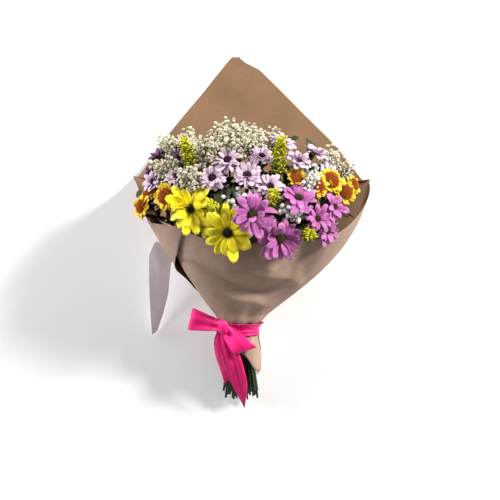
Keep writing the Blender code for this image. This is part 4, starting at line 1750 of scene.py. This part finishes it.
    def build(self) -> None:
        """Builds each flower of each kind."""
        for style in BLOOMS:
            for number, node in enumerate(nodes_named(style.kind)):
                dice = random.Random(f"{style.kind} {number}")
                head, rings = read_flower(node, style.neck)
                head = replace(head, radius=max(head.radius, style.least))
                LOG.info(
                    "%s head: radius %.1f mm at %s", node, head.radius, np.round(head.middle, 1)
                )
                piece = Piece()
                line = self.stem(
                    piece, np.vstack((rings, head.middle - head.facing * head.radius * 0.2))
                )
                self.leaves(piece, line, style.leaves, dice)
                self.sepals(piece, head, dice)
                self.petal_rings(piece, style, head, dice)
                self.eye(piece, style, head, dice)
                piece.finish(f"{node}_bloom", node)


class Fillers:
    """Baby's breath, goldenrod and foliage between the flowers."""

    WHITE_SPRAYS = (6, 7, 8)
    LARGE_SPRAYS = (7, 8)
    TWIGS_TO_A_PLUME = 84
    BUDS_TO_A_TWIG = 6

    def __init__(self, flowers: Flowers) -> None:
        """Takes the maker of the flowers, whose stems and leaves they share."""
        self.flowers = flowers
        self.moulds = flowers.moulds
        self.wrap = flowers.wrap

    def stem_rings(self, node: str, top: Points) -> Points:
        """The foot, tie and knee of a CAD stem, then the given point."""
        triangles = node_triangles(node)
        rings = rings_along(triangles[longest_edges(triangles) > 24].reshape(-1, 3), 5.0)
        rings = rings[rings[:, 1] < 135][:3]
        return np.vstack((rings, top))

    def ball(
        self, piece: Piece, at: Points, radius: float, paint: Paint, dice: random.Random
    ) -> None:
        """Plants one floret."""
        axes = axes_of((dice.gauss(0, 1), dice.gauss(0, 1), dice.gauss(0, 1)), (0.1, 0.2, 1.0))
        piece.plant(
            dice.choice(self.moulds.florets),
            at,
            axes,
            (radius, radius, radius * 0.82),
            paint,
            dice.random(),
        )

    def breath(self) -> None:
        """Sprays of small cream florets on thin forking twigs."""
        for number, node in enumerate(nodes_named("baby_breath")):
            dice = random.Random(f"breath {number}")
            puffs, radii = read_puffs(node)
            middle = puffs.mean(axis=0)
            inwards = unit(np.array((0.0, 40.0, 70.0)) - middle)
            hub = middle + inwards * 46
            large = number in self.LARGE_SPRAYS
            paint = Paint.FLORET_WHITE if number in self.WHITE_SPRAYS else Paint.FLORET
            piece = Piece()
            self.flowers.stem(piece, self.stem_rings(node, hub), 1.2)
            if not large:
                puffs = puffs + np.array((-2.0, -10.0, 0.0))
                nearer = puffs + (hub - puffs) * 0.24 + np.array((1.0, -9.0, 5.0))
                puffs, radii = np.vstack((puffs, nearer)), np.concatenate((radii, radii * 0.95))
            for puff, radius in zip(puffs, radii):
                path = (hub, (hub + puff) / 2 + np.array((0, 0, 4.0)), puff)
                self.flowers.twig(piece, path, (0.8, 0.5), Paint.TWIG, dice.random())
                count = 5 if large else int(23 * (radius / 8) ** 2)
                for k in range(count + (3 if large else 14)):
                    z = 1 - 2 * (k % count + 0.5) / count
                    turn = k * GOLDEN + dice.random()
                    way = np.array(
                        (
                            math.sqrt(1 - z * z) * math.cos(turn),
                            math.sqrt(1 - z * z) * math.sin(turn),
                            z,
                        )
                    )
                    outlier = k >= count
                    way = unit(way - inwards * (0.7 if outlier else 0.2))
                    reach = (
                        radius * dice.uniform(0.55, 1.12) if not outlier
                        else radius + dice.uniform(2.5, 9.5)
                    )
                    size = dice.uniform(3.9, 4.9) if large else dice.uniform(2.0, 3.7)
                    at = puff + way * reach
                    self.ball(piece, at, size * (0.85 if outlier else 1.0), paint, dice)
                    if outlier:
                        path = (puff, puff + way * reach * 0.5 + (0, 0, 1), at)
                        self.flowers.twig(piece, path, (0.4, 0.3), Paint.TWIG, dice.random())
            piece.finish(f"{node}_spray", node)

    def goldenrod(self) -> None:
        """Plumes of small golden buds."""
        for number, node in enumerate(nodes_named("goldenrod")):
            dice = random.Random(f"goldenrod {number}")
            puffs, radii = read_puffs(node)
            order = np.argsort(radii)[::-1]
            puffs = puffs[order]
            puffs = puffs[0] + (puffs - puffs[0]) * 1.45 + np.array((0.0, 0.0, 4.0))
            piece = Piece()
            line = self.flowers.stem(piece, self.stem_rings(node, puffs[0]), 1.3)
            below = puffs[0] - unit(puffs[0] - line[-6]) * 20 - unit(puffs[-1] - puffs[0]) * 14
            spine = curve_through((below, *puffs), 40)
            self.flowers.twig(piece, puffs, (1.0, 0.4), Paint.TWIG, 0.4)
            run = unit(spine[-1] - spine[0])
            base = axes_of(run, (0.1, 0.2, 1.0))
            for k in range(self.TWIGS_TO_A_PLUME):
                share = (k + 0.5) / self.TWIGS_TO_A_PLUME
                at = spine[int(share * 39)]
                turn = k * GOLDEN
                radial = spoke(base, turn)
                length = (16.0 - 8.0 * share) * dice.uniform(0.6, 1.15)
                tip = at + radial * length * 0.85 + run * length * 0.55
                path = (at, (at + tip) / 2 + radial, tip)
                self.flowers.twig(piece, path, (0.45, 0.3), Paint.TWIG, dice.random())
                for j in range(self.BUDS_TO_A_TWIG):
                    reach = 0.35 + 0.65 * j / (self.BUDS_TO_A_TWIG - 1)
                    loose = np.array([dice.gauss(0, 0.9) for _ in range(3)])
                    spot = at + (tip - at) * reach + loose
                    size = dice.uniform(1.2, 1.9)
                    gold = dice.random() < 0.15 + 0.9 * share
                    axes = axes_of(unit(tip - at), (0.1, 0.2, 1.0))
                    paint = Paint.GOLD_BUD if gold else Paint.OLIVE_BUD
                    grown = (size, size * 1.3, size)
                    piece.plant(self.moulds.bud, spot, axes, grown, paint, dice.random())
            self.flowers.leaves(piece, line, 3, dice, 6.0)
            piece.finish(f"{node}_plume", node)

    def foliage(self) -> None:
        """Sprigs of dark leaves."""
        for number, node in enumerate(nodes_named("foliage")):
            dice = random.Random(f"foliage {number}")
            points = node_triangles(node).reshape(-1, 3)
            top = points[points[:, 1] > 125]
            tip = top[np.linalg.norm(top - points[points[:, 1].argmin()], axis=1).argmax()]
            piece = Piece()
            line = self.flowers.stem(piece, self.stem_rings(node, tip), 1.3)
            self.flowers.leaves(piece, line, 9, dice, 2.0)
            piece.finish(f"{node}_sprig", node)

    def build(self) -> None:
        """Builds the fillers in order."""
        self.breath()
        self.goldenrod()
        self.foliage()


# ---------------------------------------------------------------- the studio


@dataclass(frozen=True)
class Studio:
    """A pale floor, soft light from above and the right, and a camera that looks straight down."""

    height: float = 1.300
    lens: float = 55.73
    aside: tuple[float, float] = (-0.0008, -0.0335)

    def floor(self) -> None:
        """A wide pale floor at the height that the bouquet rests on."""
        deselect()
        bpy.ops.mesh.primitive_plane_add(size=8.0, location=(0, 0, 0))
        obj = bpy.context.object
        obj.name = obj.data.name = "studio_floor"
        made = bpy.data.materials.new("pale floor")
        made.use_nodes = True
        graph = Graph(made.node_tree)
        noise = graph.node(
            "TexNoise", {"Vector": graph.node("TexCoord").outputs["Object"], "Scale": 3.0}
        )
        shader = made.node_tree.nodes["Principled BSDF"]
        colour = graph.mix(noise.outputs["Fac"], (0.90, 0.90, 0.90, 1), (0.94, 0.94, 0.94, 1))
        graph.tree.links.new(colour, shader.inputs["Base Color"])
        shader.inputs["Roughness"].default_value = 0.9
        obj.data.materials.append(made)

    def light(
        self, name: str, place: Sequence[float], aim: Sequence[float], size: float, power: float,
        colour: Colour,
    ) -> None:
        """A square area light aimed at a point."""
        deselect()
        bpy.ops.object.light_add(type="AREA", location=place)
        lamp = bpy.context.object
        lamp.name = name
        lamp.data.size = size
        lamp.data.energy = power
        lamp.data.color = colour
        way = unit(np.subtract(place, aim))
        pitch = math.acos(max(-1.0, min(1.0, way[2])))
        yaw = math.atan2(way[1], way[0]) + math.pi / 2
        lamp.rotation_euler = (pitch, 0.0, yaw)
        LOG.info("%s at %s, %.0f W", name, tuple(place), power)

    def build(self) -> None:
        """Sets the floor, the lights, the surroundings and the camera."""
        middle = np.mean(np.array(CAD_BOX), axis=0)
        self.floor()
        self.light("key", (3.0, 1.9, 2.1), (0, 0, 0.1), 0.8, 280.0, (1.0, 0.98, 0.95))
        self.light("fill", (-2.2, 1.3, 1.0), (0, 0, 0.1), 1.6, 100.0, (0.98, 0.98, 1.0))
        world = bpy.data.worlds.new("studio")
        world.use_nodes = True
        world.node_tree.nodes["Background"].inputs["Color"].default_value = (1, 1, 1, 1)
        world.node_tree.nodes["Background"].inputs["Strength"].default_value = 0.26
        bpy.context.scene.world = world
        bpy.context.scene.view_settings.view_transform = "Standard"
        deselect()
        bpy.ops.object.camera_add(
            location=(middle[0] + self.aside[0], middle[1] + self.aside[1], self.height),
            rotation=(0, 0, 0),
        )
        camera = bpy.context.object
        camera.name = "camera"
        camera.data.lens = self.lens
        camera.data.sensor_width = 36.0
        bpy.context.scene.camera = camera


def main() -> None:
    """Builds the bouquet and its studio."""
    logging.basicConfig(level=logging.INFO, format="%(name)s: %(message)s")
    wrap = Wrap()
    moulds = Moulds()
    flowers = Flowers(moulds, wrap)
    flowers.build()
    Fillers(flowers).build()
    PaperSheets(wrap).build()
    Ribbon().build()
    Studio().build()
    LOG.info("size written")


if __name__ == "__main__":
    main()
